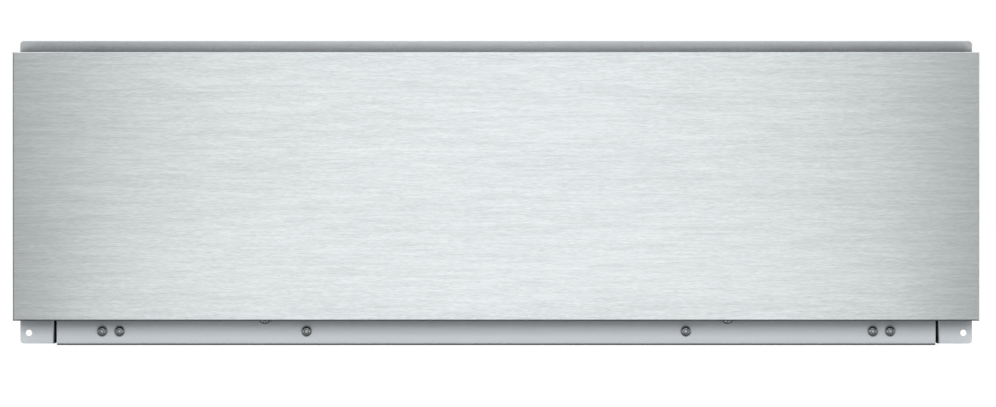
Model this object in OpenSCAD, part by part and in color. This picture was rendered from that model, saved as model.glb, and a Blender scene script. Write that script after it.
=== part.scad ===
// Built-in warming drawer, 30-inch class: a steel housing with a flange that laps the cabinet,
// a heated cavity, and a full-width drawer on telescopic slides behind a plain brushed front.
// Axes: +X right, +Y to the back, +Z up. Origin: centre of the footprint, at the base. Millimetres.

/* [Housing] */
// Width of the housing across its side walls
body_w = 698; // [640:1:900]
// Height of the housing
body_h = 226; // [200:0.5:320]
// Depth of the housing behind its flange
body_d = 536; // [440:1:640]
// Thickness of the side, top and rear sheets
sheet_t = 1; // [0.8:0.1:1.2]
// Inner radius of the folds in the sheets
fold_r = 1; // [0.6:0.1:1.4]
// Width of each side flange
side_flange = 26; // [20:0.5:34]
// Rise of the top flange above the housing
top_flange = 13.5; // [10:0.5:20]
// Radius of the flange's outer corners
flange_r = 2.8; // [1:0.1:5]
// Height of the side flanges' lower ends above the base
flange_lift = 1.2; // [0.5:0.1:3]
// Depth of the folds that the housing's sheets are joined by
lap_d = 14; // [12:0.5:16]

/* [Cabinet screws] */
// Radius of the flange's cabinet screw holes
cabinet_hole_r = 2.5; // [2:0.1:3]
// Distance from a hole to the flange's outer edge
cabinet_hole_inset = 6.7; // [5:0.1:9]
// Height of the cabinet screw holes above the base
cabinet_hole_z = 9.5; // [7:0.1:12]

/* [Front panel] */
// Overlap of the front past each side flange
front_over = 2.8; // [0:0.1:10]
// Height of the front's lower edge above the base
front_z = 20; // [17:0.5:21]
// Rise of the front's upper edge above the housing
front_rise = 4; // [3.5:0.5:8]
// Depth of the front, with its back plate
front_t = 19; // [18:0.5:24]
// Gap between the closed front and the flange
front_gap = 3; // [3:0.1:5]
// Thickness of the front's sheet
skin_t = 1; // [0.8:0.1:1.5]
// Outer radius of the front's folded edges
skin_r = 1; // [0.8:0.1:2.4]
// Width of the front's returns at its sides and lower edge
return_w = 10; // [9:0.5:12]
// Width of the front's return at its upper edge
top_return = 7; // [5:0.5:7.5]
// Thickness of the back plate
plate_t = 1; // [0.8:0.1:1.2]
// Depth of the back plate's fold over the front's insulation
plate_fold = 14; // [8:0.5:14.5]

/* [Base] */
// Thickness of the base sheet
base_t = 1.2; // [1:0.1:1.5]
// Gap at each end of the base's front strip
strip_gap = 1.7; // [1:0.1:2.5]
// Height of the front strip
sill_h = 32; // [31.5:0.5:36]
// Depth of the fold at the top of the front strip
sill_d = 12; // [8:0.5:14]
// Width of the notches in the strip's lower edge
notch_w = 10.8; // [8:0.1:14]
// Height of those notches
notch_h = 0.9; // [0.5:0.1:1.5]
// Distance of the outer notches from the middle
notch_x = 273.5; // [240:0.5:280]

/* [Strip screws] */
// Radius of a pan head
head_r = 4; // [3.6:0.1:4.2]
// Height of a pan head
head_h = 2.6; // [2:0.1:2.6]
// Radius of a screw's shank
shank_r = 2; // [1.5:0.1:2]
// Height of the lower row of screws above the base
low_screw_z = 10.8; // [9:0.1:12]
// Height of the two upper screws above the base
high_screw_z = 20.5; // [20:0.1:20.8]
// Distance of each pair's outer screw from the strip's end
pair_inset = 35.8; // [30:0.1:45]
// Pitch of the two screws in a pair
pair_pitch = 13.7; // [10:0.1:16]
// Distance of the single screws from the middle
single_x = 149.4; // [110:0.1:165]
// Distance of the upper screws from the middle
high_x = 182.3; // [172:0.1:200]

/* [Cavity] */
// Space between a side wall and the inside of the cavity
side_space = 16; // [14:0.5:30]
// Space between the cavity's rear wall and the rear panel
rear_space = 35; // [33:0.5:60]
// Space between the cavity's ceiling and the top of the housing
top_space = 42; // [41.5:0.5:60]
// Height of the reflector tray's underside above the base
tray_z = 16; // [14:0.5:16.5]
// Thickness of the top insulation blanket
blanket_t = 14; // [8:0.5:14.5]

/* [Slides] */
// Thickness of a slide
slide_t = 12.7; // [12.7:0.1:13.5]
// Height of a slide
slide_h = 45; // [43:0.5:50]
// Height of the slides' centre line above the base
slide_z = 104; // [80:0.5:110]
// Thickness of the rails
rail_t = 1.2; // [1:0.1:1.3]
// Radius of the bearing balls
ball_r = 1.6; // [1.4:0.05:1.7]
// Space behind the slides
slide_rear = 17; // [14:0.5:40]
// Length of slide that stays engaged when the drawer is open
slide_overlap = 50; // [40:1:90]

/* [Drawer] */
// Height of the tub's underside above the strip
tub_lift = 4; // [2:0.5:8]
// Clearance between the tub's rim and the cavity's ceiling
rim_clear = 12; // [8:0.5:20]
// Space behind the tub
tub_rear = 25; // [20:0.5:60]
// Thickness of the tub's sheet
tub_t = 1; // [0.8:0.1:1.5]
// Radius of the tub's upright corners
tub_r = 12; // [8:1:20]
// Radius of the tub's lower edges
tub_fold = 5; // [3:0.5:8]
// Width of the tub's rim
rim_w = 8; // [5:0.5:9]
// Width of the door seal
seal_w = 6; // [5:0.1:6.5]
// Thickness of the anti-slip mat
mat_t = 1.5; // [1:0.1:2.5]

/* [Rack] */
// Depth of the wire rack
rack_d = 236; // [180:1:260]
// Height of the rack's frame above the mat
rack_h = 62; // [50:0.5:66]
// Radius of the rack's frame wire
rack_r = 2.5; // [2.2:0.1:3]
// Radius of the rack's cross wires
wire_r = 1.5; // [1:0.1:1.8]
// Pitch of the cross wires
wire_pitch = 28; // [20:1:40]

/* [Controls] */
// Distance of the knob from the side wall
knob_inset = 112; // [108:1:125]
// Distance between the knob and the pilot lamp
lamp_pitch = 86; // [70:1:100]
// Radius of the knob
knob_r = 12; // [10:0.5:12.5]
// Height of the knob
knob_h = 11; // [9:0.5:12]
// Radius of the thermostat's shaft
shaft_r = 3; // [2.5:0.1:3.5]
// Height of the control fascia
fascia_h = 28; // [26:0.5:29]
// Distance of the touch latches from the side walls
latch_inset = 42; // [38:0.5:46]
// Radius of the latch plungers
plunger_r = 4; // [3.5:0.1:4.5]
// Travel of the latch plungers
press = 3; // [2:0.1:3]

/* [Heater] */
// Radius of the heating element's tube
element_r = 3.25; // [3:0.05:4]
// Pitch of the element's runs
element_pitch = 80; // [70:1:90]
// Height of the element's centre above the tray
element_lift = 9; // [8:0.1:10]

/* [Mains inlet] */
// Distance of the terminal cover's middle from the side of the housing
cover_inset = 99; // [90:1:130]
// Distance of the terminal cover's underside from the top of the housing
cover_drop = 76; // [72:0.5:80]
// Depth of the terminal cover
cover_d = 24; // [22:0.5:30]
// Width of the terminal cover
cover_w = 110; // [100:1:120]
// Height of the terminal cover
cover_h = 64; // [58:0.5:68]
// Radius of the cable gland's bore
gland_bore_r = 4.2; // [3:0.1:5]
// Length of the cable gland's bore
gland_len = 18; // [16:0.5:24]

/* [Hidden] */
$fn = 48;
gap = 0.3;                // clearance between pieces that pass or lie by each other
fit_gap = 0.08;           // radial clearance of a running fit
hole_gap = 0.15;          // radial clearance of a screw in its hole
eps = 1;                  // overrun of a cut past the face that it leaves

// Planes along the depth
front_y = -(front_t + front_gap + body_d + cover_d) / 2;
back_y = front_y + front_t;               // rear face of the back plate
skin_y = back_y - plate_t;                // rear face of the front's returns
face_y = back_y + front_gap;              // front of the flange
rear_y = face_y + body_d;                 // back of the housing
inner_rear_y = rear_y - sheet_t;          // inner face of the rear panel
cavity_y = inner_rear_y - rear_space;     // inner face of the cavity's rear wall
strip_y = face_y + base_t;                // inner face of the front strip

// Planes across the width
wall_x = body_w / 2;                      // outer face of a side wall
wall_in = wall_x - sheet_t;
flange_x = wall_x + side_flange;
front_x = flange_x + front_over;
cavity_x = wall_in - side_space;          // inner face of a cavity wall
cavity_out = cavity_x + sheet_t;
strip_x = wall_in - strip_gap;            // end of the base's front strip
tub_x = cavity_x - slide_t;               // outer face of the tub

// Planes along the height
flange_top = body_h + top_flange;
front_top = body_h + front_rise;
cover_under = body_h - sheet_t;           // underside of the top cover
side_top = cover_under - gap;
ceiling_z = body_h - top_space;
head_z0 = ceiling_z + 7;                  // lower edge of the header plate
control_z = (head_z0 + side_top) / 2;
tray_top = tray_z + sheet_t;
tub_z = sill_h + tub_lift;
tub_floor = tub_z + tub_t;
tub_top = ceiling_z - rim_clear;
mat_z = tub_floor + mat_t;
rack_z = mat_z + rack_h;                  // centre of the rack's frame wire
element_z = tray_top + element_lift;

// Screws: radii of the small ones, and where each row stands
small_r = 1.5;
small_head_r = 3;
small_head_h = 1.8;
pair_x = strip_x - pair_inset;
bracket_x = pair_x - pair_pitch / 2;
bracket_w = 34;
strip_screws = [for (s = [-1, 1]) each [[s * pair_x, low_screw_z], [s * (pair_x - pair_pitch), low_screw_z],
    [s * single_x, low_screw_z], [s * high_x, high_screw_z]]];
edge_screws = [for (i = [0:3]) face_y + 60 + i * (body_d - 116) / 3];
edge_screw_x = wall_x - lap_d / 2;
foot_screw_z = 8;
rear_screw_z = [40, body_h / 2 - 3, body_h - 46];
rear_screws = [for (s = [-1, 1], z = rear_screw_z) [s * edge_screw_x, z]];

// Lengths of folded sheet: across the front, along a side wall's ends, and of the narrow folds
front_run = 20;
flange_run = 40;
narrow_run = 11;
bracket_run = 16;
strip_fold_r = 0.4;                       // inner radius of the front strip's folds, which are pressed sharp
relief = 4;                               // cut at a corner where two folds meet
lap = 1;                                  // overlap of two stretches of one sheet
foot_x = wall_in - 2 * gap - base_t - fold_r;  // end of a cavity wall's foot

// Small cuts of the housing
bevel = 2.4;                              // of the ends of the front strip
louvre_x = [-190, -60];
louvre_z = 70;
louvre_pitch = 18;
louvre_w = 90;
louvre_h = 7;
louvre_out = 4;
vent_y = 160;                             // slots in the base, from its front and its rear
vent_pitch = 120;
vent_l = 60;
vent_w = 5;
top_vent_y = 60;                          // slots in the top cover, from its rear
top_vent_pitch = 40;
top_vent_l = 26;
rib_at = [0.2, 0.45, 0.72];               // pressed ribs of the top cover, as shares of its depth
rib_w = 14;
rib_end = 75;                             // cover beyond a rib's end
rib_h = 1;

// Back plate and door seal
plate_inset = 2;
plate_x = front_x - plate_inset;
plate_z0 = front_z + plate_inset;
plate_z1 = ceiling_z + 10;
plate_screws = [for (s = [-1, 1], z = [plate_z0 + 18, (plate_z0 + plate_z1) / 2, plate_z1 - 14])
    [s * (front_x - skin_t - return_w / 2), z]];
tub_screws = [for (s = [-1, 1], z = [tub_z + 30, tub_top - 30], x = [120, tub_x - 45]) [s * x, z]];
seal_x = cavity_x + 7.5;                  // centre line of the seal's uprights
seal_z0 = sill_h - 4;
seal_z1 = ceiling_z + 4.5;
seal_t = front_gap - gap;

// Slide section, measured from the cavity wall
race = 2 * ball_r + 2 * hole_gap;
outer_in = slide_h / 2 - rail_t;          // inside of the outer rail's arms
middle_out = outer_in - race;
middle_in = middle_out - rail_t;
inner_out = middle_in - race;
cage_t = 0.5;
cage_past = 2.2;                          // of a cage past the middle of its balls
inner_cage_gap = 0.35;
outer_ball_x = 6.2;                       // middle of each row of balls, from the cavity wall
inner_ball_x = 8;
web_gap = 1.4;
middle_x = rail_t + web_gap;
arm_in = slide_t - 7.7;                   // where the inner rail's arms start
lip_t = 1;
lip_h = 1.1;

// Slides along the depth
slide_y = face_y + 3;
slide_len = cavity_y - slide_rear - slide_y;
travel = slide_len - slide_overlap;       // of the drawer
cage_end = 4.5;                           // rail left beyond a cage at full travel
cage_off = travel / 4 + cage_end;
cage_len = slide_len - travel / 2 - 2 * cage_end;
balls = 6;
slide_holes = [for (i = [0:3]) slide_y + 30 + i * (slide_len - 60) / 3];

// Controls
knob_x = wall_in - knob_inset;
lamp_x = knob_x - lamp_pitch;
fascia_end = 52;                          // fascia beyond the knob and beyond the lamp
fascia_t = 1.2;
fascia_wall = 1.5;
fascia_depth = 6;
thermostat_y = face_y + fascia_t + gap;
thermostat_x = 13;
thermostat_z = 8;
thermostat_end = thermostat_y + 32;
latch_x = wall_in - latch_inset;
latch_w = 15;
latch_d = 52;
latch_y = face_y + sheet_t + gap;
latch_wall = 2;
latch_ear = 5.5;                          // mounting ears of a latch, beyond its sides
latch_ear_h = 12;
spring_play = 0.3;                        // from the spring to the bore that it lies in
spring_t = 0.8;
strike_t = 1.5;
strike_x = 14;
strike_z = 10;
plunger_y = back_y + strike_t + gap;      // front of a plunger
plunger_end = plunger_y + 34;

// Heater
runs = 6;
element_x = [for (i = [0:runs - 1]) (i - (runs - 1) / 2) * element_pitch];
element_y0 = face_y + 60;
element_y1 = cavity_y - 70;
element_end = cavity_y + sheet_t + 8;
stud_l = 9;                               // cold ends of the element, and the blades on them
blade_l = 6;
blade_w = 6.4;
blade_t = 0.8;
clip_t = 0.8;
clip_w = 8;
clip_grip = 3.5;                          // length of a clip screw's shank
clip_foot = 13;
clip_hole = 8.5;
clips = [for (i = [0, 2, 3, 5], y = [element_y0 + 60, (element_y0 + element_y1) / 2, element_y1 - 60])
    [element_x[i], y]];
bush_r = 7;
rear_blanket_t = 11;
cutout = [-60, 80];
cutout_r = 8;
cutout_d = 11;
cutout_tab_x = 4;                         // tabs left and right of the cut-out's middle
tab_w = 3;
probe = [90, 60];
probe_r = 3;

// Mains inlet
cover_x = wall_x - cover_inset;
cover_z = body_h - cover_drop;            // underside of the terminal cover
cover_t = 1.2;
cover_ear = 12;
gland_r = 9;
gland_y = rear_y + cover_d / 2;
entry_z = cover_z + 28;
entry_w = 40;
entry_h = 24;

// Rack
rack_bend = 14;
mat_inset = 12;                           // of the mat from the tub's outer faces
foot_r = 4;
rack_x = tub_x - mat_inset - foot_r - 0.5;
tub_end = cavity_y - tub_rear;            // rear face of the tub
rack_y1 = tub_end - tub_t - rack_r - 4;
rack_y0 = rack_y1 - rack_d;
leg_r = rack_r - 0.3;
leg_z = mat_z + gap + foot_r;
leg_in = 40;

steel = "#b9bec2";
brushed = "#d3d8da";
zinc = "#a9aeb2";
bright = "#cfd3d6";
black = "#26282a";
wool = "#c9b873";
rubber = "#3a3b3d";
ceramic = "#e6e0d2";

// ---- Shapes -------------------------------------------------------------------------------

// Points of an arc about c
function arc(c, r, from, to, steps = 6) =
    [for (i = [0:steps]) c + r * [cos(from + (to - from) * i / steps), sin(from + (to - from) * i / steps)]];

function left_of(v) = [-v[1], v[0]];
function turned(v, a) = [v[0] * cos(a) - v[1] * sin(a), v[0] * sin(a) + v[1] * cos(a)];

// One fold of a sheet at q, on the path's own face (side 0) or on the other face (side 1)
function fold(p, q, s, t, r, side, steps = 5) =
    let (a = (q - p) / norm(q - p),
        b = (s - q) / norm(s - q),
        way = a[0] * b[1] - a[1] * b[0] > 0 ? 1 : -1,
        angle = acos(a * b),
        r_path = way > 0 ? r + t : r,
        c = q - a * r_path * tan(angle / 2) + way * left_of(a) * r_path,
        r_here = side == 0 ? r_path : r_path - way * t)
    [for (i = [0:steps]) c + r_here * turned(-way * left_of(a), way * angle * i / steps)];

// Section of a folded sheet: the path runs along one face, and the sheet lies to its left
function folded(path, t, r) =
    let (n = len(path),
        first = left_of(path[1] - path[0]) / norm(path[1] - path[0]),
        last = left_of(path[n - 1] - path[n - 2]) / norm(path[n - 1] - path[n - 2]),
        near = [for (i = [1:1:n - 2]) each fold(path[i - 1], path[i], path[i + 1], t, r, 0)],
        far = [for (i = [1:1:n - 2]) each fold(path[i - 1], path[i], path[i + 1], t, r, 1)])
    concat([path[0]], near, [path[n - 1], path[n - 1] + t * last],
        [for (i = [len(far) - 1:-1:0]) far[i]], [path[0] + t * first]);

// Outline of a rectangle with its own radius at each corner, from the lower left one round
function corners(x0, y0, x1, y1, r) = concat(
    r[0] > 0 ? arc([x0 + r[0], y0 + r[0]], r[0], 180, 270) : [[x0, y0]],
    r[1] > 0 ? arc([x1 - r[1], y0 + r[1]], r[1], 270, 360) : [[x1, y0]],
    r[2] > 0 ? arc([x1 - r[2], y1 - r[2]], r[2], 0, 90) : [[x1, y1]],
    r[3] > 0 ? arc([x0 + r[3], y1 - r[3]], r[3], 90, 180) : [[x0, y1]]);

// Outline of a slot with round ends, about the origin
function slot(w, h) =
    concat(arc([(w - h) / 2, 0], h / 2, -90, 90, 12), arc([(h - w) / 2, 0], h / 2, 90, 270, 12));

// A box from one corner to the opposite one
module block(lo, hi) translate(lo) cube(hi - lo);

// A section drawn in Y and Z and run along X, in X and Z along Y, or in X and Y along Z
module along_x(x0, x1) translate([x0, 0, 0]) rotate([90, 0, 90]) linear_extrude(x1 - x0) children();
module along_y(y0, y1) translate([0, y1, 0]) rotate([90, 0, 0]) linear_extrude(y1 - y0) children();
module along_z(z0, z1) translate([0, 0, z0]) linear_extrude(z1 - z0) children();

// A round bar or hole along X or Y, and one along Z
module bar_x(y, z, x0, x1, r) translate([x0, y, z]) rotate([0, 90, 0]) cylinder(r = r, h = x1 - x0);
module bar_y(x, z, y0, y1, r) translate([x, y1, z]) rotate([90, 0, 0]) cylinder(r = r, h = y1 - y0);
module bar_z(x, y, z0, z1, r) translate([x, y, z0]) cylinder(r = r, h = z1 - z0);

// The left-hand twin of a right-hand piece, and a piece on both sides
module on_left() mirror([1, 0, 0]) children();
module both_sides() for (m = [0, 1]) mirror([m, 0, 0]) children();

// Moves children to a frame with its own X and Z axes
module frame(at, x, z) {
    y = cross(z, x);
    multmatrix([[x[0], y[0], z[0], at[0]], [x[1], y[1], z[1], at[1]], [x[2], y[2], z[2], at[2]]]) children();
}

// A round wire through points, with bends of one radius
function turn(points, i) =
    let (a = points[i] - points[i - 1], b = points[i + 1] - points[i])
    acos(max(-1, min(1, a * b / norm(a) / norm(b))));
function bend_cut(points, i, bend) =
    i == 0 || i == len(points) - 1 ? 0 : bend * tan(turn(points, i) / 2);
function across(u) = abs(u[2]) < 0.9 ? cross([0, 0, 1], u) / norm(cross([0, 0, 1], u)) : [1, 0, 0];

module bent_wire(points, r, bend) {
    for (i = [0:len(points) - 2]) {
        d = points[i + 1] - points[i];
        u = d / norm(d);
        start = bend_cut(points, i, bend);
        run = norm(d) - start - bend_cut(points, i + 1, bend);
        if (run > 0.01) frame(points[i] + u * start, across(u), u) cylinder(r = r, h = run);
    }
    for (i = [1:1:len(points) - 2]) {
        a = (points[i] - points[i - 1]) / norm(points[i] - points[i - 1]);
        b = (points[i + 1] - points[i]) / norm(points[i + 1] - points[i]);
        inward = (b - a * (a * b)) / norm(b - a * (a * b));
        centre = points[i] - a * bend_cut(points, i, bend) + inward * bend;
        frame(centre, -inward, cross(-inward, a))
            rotate_extrude(angle = turn(points, i)) translate([bend, 0]) circle(r);
    }
}

// ---- Fasteners ----------------------------------------------------------------------------

// Profile of a pan head: flat top, round shoulder, its seat at zero
function pan(r, h) = concat([[0, 0], [r, 0]], [for (i = [0:5]) [r - 0.4 * r * (1 - cos(i * 18)),
    h * (0.35 + 0.65 * sin(i * 18))]], [[0, h]]);

// Six-lobed drive of radius r
function six_lobes(r) = [for (i = [0:35]) r * (0.87 + 0.13 * cos(i * 60)) * [cos(i * 10), sin(i * 10)]];

// Screws point along -Z from a seat at z = 0
module lobed_screw(grip) {
    difference() {
        rotate_extrude() polygon(pan(head_r, head_h));
        translate([0, 0, head_h - 1.5]) linear_extrude(1.5 + eps) polygon(six_lobes(head_r * 0.45));
    }
    translate([0, 0, -grip]) cylinder(r = shank_r, h = grip);
}

module cross_screw(grip) {
    difference() {
        rotate_extrude() polygon(pan(small_head_r, small_head_h));
        for (a = [0, 90]) rotate(a) translate([-1.7, -0.4, small_head_h - 1]) cube([3.4, 0.8, 1 + eps]);
    }
    translate([0, 0, -grip]) cylinder(r = small_r, h = grip);
}

// Turns a screw so that its head faces the front, the back, or out to side s
module facing_front(x, y, z) translate([x, y, z]) rotate([90, 0, 0]) children();
module facing_back(x, y, z) translate([x, y, z]) rotate([-90, 0, 0]) children();
module facing_side(s, x, y, z) translate([s * x, y, z]) rotate([0, s * 90, 0]) children();

// ---- Housing ------------------------------------------------------------------------------

module base_pan() color(steel) difference() {
    rear = inner_rear_y - gap;
    half = wall_in - gap;
    rear_half = wall_x - lap_d - gap;
    union() {
        along_x(-strip_x, strip_x) polygon(folded([[face_y + sill_d, sill_h], [face_y, sill_h], [face_y, 0],
            [face_y + front_run + lap, 0]], base_t, strip_fold_r));
        along_y(face_y + front_run, rear - lap_d)
            polygon(folded([[-half, lap_d], [-half, 0], [half, 0], [half, lap_d]], base_t, fold_r));
        along_x(-rear_half, rear_half)
            polygon(folded([[rear - lap_d - lap, 0], [rear, 0], [rear, lap_d]], base_t, fold_r));
        both_sides() block([rear_half - lap, rear - lap_d - lap, 0], [half, rear - base_t - fold_r, base_t]);
    }
    // bevelled ends and notches of the strip's lower edge
    both_sides() translate([strip_x, face_y, 0]) rotate([0, 45, 0])
        cube([bevel, 2 * (base_t + strip_fold_r), bevel], center = true);
    for (x = [-notch_x, 0, notch_x])
        block([x - notch_w / 2, face_y - eps, -eps],
            [x + notch_w / 2, face_y + strip_fold_r + base_t, notch_h]);
    for (p = strip_screws) bar_y(p[0], p[1], face_y - eps, strip_y + eps, shank_r + hole_gap);
    both_sides() for (y = edge_screws)
        bar_x(y, foot_screw_z, half - 2 * base_t, half + eps, small_r + hole_gap);
    for (i = [-2:2], y = [face_y + vent_y, rear_y - vent_y])
        translate([i * vent_pitch, y, 0]) along_z(-eps, base_t + eps) polygon(slot(vent_l, vent_w));
}

// Right side wall with its cabinet flange and its folds to the top and the back
module side_panel() color(zinc) difference() {
    rear = inner_rear_y - gap;
    union() {
        along_z(flange_lift, side_top) polygon(folded([[flange_x, face_y + sheet_t],
            [wall_x, face_y + sheet_t], [wall_x, face_y + flange_run + lap]], sheet_t, fold_r));
        along_z(flange_lift, side_top - relief) polygon(folded([[wall_x, rear - flange_run], [wall_x, rear],
            [wall_x - lap_d, rear]], sheet_t, fold_r));
        along_y(face_y + flange_run, rear - relief) polygon(folded([[wall_x, flange_lift],
            [wall_x, side_top], [wall_x - lap_d, side_top]], sheet_t, fold_r));
    }
    // round lower corner of the flange, and its cabinet screw hole
    translate([flange_x, 0, flange_lift]) difference() {
        block([-flange_r, face_y - eps, -eps], [eps, face_y + sheet_t + eps, flange_r]);
        bar_y(-flange_r, flange_r, face_y - 2 * eps, face_y + sheet_t + 2 * eps, flange_r);
    }
    bar_y(flange_x - cabinet_hole_inset, cabinet_hole_z, face_y - eps, face_y + sheet_t + eps,
        cabinet_hole_r);
    for (y = edge_screws) {
        bar_x(y, foot_screw_z, wall_in - eps, wall_x + eps, small_r + hole_gap);
        bar_z(edge_screw_x, y, side_top - 2 * sheet_t, side_top + eps, small_r + hole_gap);
    }
    for (z = rear_screw_z) bar_y(edge_screw_x, z, rear - 2 * sheet_t, rear + eps, small_r + hole_gap);
    // cooling slots of the control compartment
    for (i = [0:11]) translate([0, rear_y - 220 + 12 * i, control_z]) along_x(wall_in - eps, wall_x + eps)
        polygon(corners(-2, -7, 2, 7, [2, 2, 2, 2]));
}
module right_side_panel() side_panel();
module left_side_panel() on_left() side_panel();

module top_cover() color(zinc) difference() {
    union() {
        along_x(-wall_x, wall_x) polygon(folded([[face_y, flange_top - 2 * flange_r], [face_y, cover_under],
            [rear_y, cover_under]], sheet_t, fold_r));
        along_y(face_y, face_y + sheet_t) polygon(corners(-flange_x, body_h + fold_r, flange_x, flange_top,
            [0, 0, flange_r, flange_r]));
        both_sides() block([wall_x, face_y, cover_under], [flange_x, face_y + sheet_t, body_h + 2 * fold_r]);
        // pressed ribs
        for (share = rib_at) translate([0, face_y + share * body_d, 0])
            along_z(body_h - sheet_t / 2, body_h + rib_h) polygon(slot(body_w - 2 * rib_end, rib_w));
    }
    both_sides() for (y = edge_screws)
        bar_z(edge_screw_x, y, cover_under - eps, body_h + eps, small_r + hole_gap);
    for (i = [-5.5:5.5]) translate([i * top_vent_pitch, rear_y - top_vent_y, 0])
        along_z(cover_under - eps, body_h + eps) polygon(slot(top_vent_l, vent_w));
}

module rear_panel() color(zinc) difference() {
    places = [for (x = louvre_x, i = [0:4]) [x, louvre_z + louvre_pitch * i]];
    union() {
        block([-wall_x, inner_rear_y, gap], [wall_x, rear_y, side_top]);
        for (p = places) translate([p[0], rear_y, p[1]])
            along_x(-louvre_w / 2, louvre_w / 2) polygon([[-sheet_t / 2, 0], [louvre_out, 0],
                [louvre_out, 1.2 * sheet_t], [0, louvre_h], [-sheet_t / 2, louvre_h]]);
    }
    for (p = places) translate([p[0], rear_y, p[1]])
        along_x(sheet_t - louvre_w / 2, louvre_w / 2 - sheet_t) polygon([[-2 * sheet_t, -1],
            [louvre_out - sheet_t, -1], [louvre_out - sheet_t, sheet_t], [0, louvre_h - 1.4 * sheet_t],
            [-2 * sheet_t, louvre_h - 1.4 * sheet_t]]);
    for (p = rear_screws) bar_y(p[0], p[1], inner_rear_y - eps, rear_y + eps, small_r + hole_gap);
    at_ears() bar_y(0, 0, inner_rear_y - eps, rear_y + eps, small_r + hole_gap);
    block([cover_x - entry_w / 2, inner_rear_y - eps, entry_z - entry_h / 2],
        [cover_x + entry_w / 2, rear_y + eps, entry_z + entry_h / 2]);
}

// Places of the terminal cover's screws
module at_ears() for (s = [-1, 1])
    translate([cover_x + s * (cover_w + cover_ear) / 2, 0, cover_z + cover_h / 2]) children();

module header_plate() color(steel) difference() {
    half = wall_in - gap;
    along_x(-half, half) polygon(folded([[face_y + narrow_run, side_top], [face_y, side_top],
        [face_y, head_z0], [face_y + narrow_run, head_z0]], sheet_t, fold_r));
    block([lamp_x - fascia_end + fascia_wall, face_y - eps, control_z - fascia_h / 2 + fascia_wall],
        [knob_x + fascia_end - fascia_wall, face_y + sheet_t + eps, control_z + fascia_h / 2 - fascia_wall]);
    both_sides() bar_y(latch_x, control_z, face_y - eps, face_y + sheet_t + eps, plunger_r + 0.6);
}

module sill_stiffener() color(zinc) difference() {
    z = sill_h - base_t - gap;
    along_x(-high_x - 26, high_x + 26) polygon(folded([[strip_y + sill_d - 3, z], [strip_y, z],
        [strip_y, tray_top + gap]], base_t, fold_r));
    both_sides() bar_y(high_x, high_screw_z, strip_y - eps, strip_y + base_t + eps, shank_r + hole_gap);
}

// Angles that tie the strip's ends to the base
module corner_brackets() color(zinc) both_sides() difference() {
    along_x(bracket_x - bracket_w / 2, bracket_x + bracket_w / 2) polygon(folded([[strip_y, tray_z - gap],
        [strip_y, base_t], [strip_y + bracket_run, base_t]], base_t, fold_r));
    for (x = [pair_x, pair_x - pair_pitch]) bar_y(x, low_screw_z, strip_y - eps, strip_y + base_t + eps,
        shank_r + hole_gap);
}

module strip_screws() color(bright) for (p = strip_screws)
    facing_front(p[0], face_y, p[1]) rotate(p[0] * 7) lobed_screw(2 * base_t + 2);

module housing_screws() color(bright) both_sides() for (y = edge_screws) {
    facing_side(1, wall_x, y, foot_screw_z) rotate(y) cross_screw(4);
    translate([edge_screw_x, y, body_h]) rotate(y) cross_screw(4);
}

module rear_screws() color(bright) {
    for (p = rear_screws) facing_back(p[0], rear_y, p[1]) rotate(p[1]) cross_screw(4);
    at_ears() facing_back(0, rear_y + sheet_t, 0) rotate(30) cross_screw(4);
}

// ---- Heated cavity ------------------------------------------------------------------------

module cavity_wall() color(steel) difference() {
    union() {
        along_z(sill_h + gap, ceiling_z - gap) polygon(folded([[foot_x, face_y + sheet_t],
            [cavity_out, face_y + sheet_t], [cavity_out, cavity_y]], sheet_t, fold_r));
        along_y(face_y + sill_d + 2, cavity_y) polygon(folded([[cavity_x, sill_h + lap], [cavity_x, base_t],
            [foot_x, base_t]], sheet_t, fold_r));
    }
    for (y = slide_holes) bar_x(y, slide_z, cavity_x - eps, cavity_out + eps, shank_r + hole_gap);
}
module right_cavity_wall() cavity_wall();
module left_cavity_wall() on_left() cavity_wall();

module cavity_ceiling() color(steel) {
    along_x(-strip_x + gap, strip_x - gap) polygon(folded([[face_y, head_z0 - gap], [face_y, ceiling_z],
        [face_y + front_run + lap, ceiling_z]], sheet_t, fold_r));
    block([-cavity_out, face_y + front_run, ceiling_z], [cavity_out, cavity_y, ceiling_z + sheet_t]);
}

module cavity_rear_wall() color(steel) difference() {
    block([-cavity_out, cavity_y, base_t], [cavity_out, cavity_y + sheet_t, ceiling_z + sheet_t]);
    for (x = [element_x[0], element_x[runs - 1]])
        bar_y(x, element_z, cavity_y - eps, cavity_y + sheet_t + eps, bush_r - 2 + hole_gap);
    bar_y(probe[0], probe[1], cavity_y - eps, cavity_y + sheet_t + eps, probe_r + hole_gap);
}

module reflector_tray() color(bright) {
    half = cavity_x - gap;
    inner = bracket_x - bracket_w / 2 - gap;
    difference() {
        union() {
            block([-half, strip_y + front_run, tray_z], [half, cavity_y - gap, tray_top]);
            both_sides() block([inner - lap, strip_y + fold_r + sheet_t, tray_z],
                [half, strip_y + front_run + lap, tray_top]);
            along_x(-inner, inner) polygon(folded([[strip_y + front_run + lap, tray_top], [strip_y, tray_top],
                [strip_y, 4]], sheet_t, fold_r));
        }
        both_sides() bar_y(single_x, low_screw_z, strip_y - eps, strip_y + sheet_t + eps, shank_r + hole_gap);
        for (p = clips) bar_z(p[0] + clip_hole, p[1], tray_z - eps, tray_top + eps, small_r + hole_gap);
    }
}

// Side blanket, with room for the ends of the rail screws
module side_blanket() color(wool) difference() {
    block([cavity_out + gap, face_y + sill_d + 4, base_t + sheet_t + gap],
        [wall_in - 4, cavity_y, ceiling_z - gap]);
    for (y = slide_holes) bar_x(y, slide_z, cavity_out, cavity_out + 5, shank_r + 2);
}
module side_insulation() both_sides() side_blanket();

module top_insulation() color(wool) block([-cavity_x, face_y + 12, ceiling_z + sheet_t + gap],
    [cavity_x, cavity_y, ceiling_z + sheet_t + gap + blanket_t]);

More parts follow.
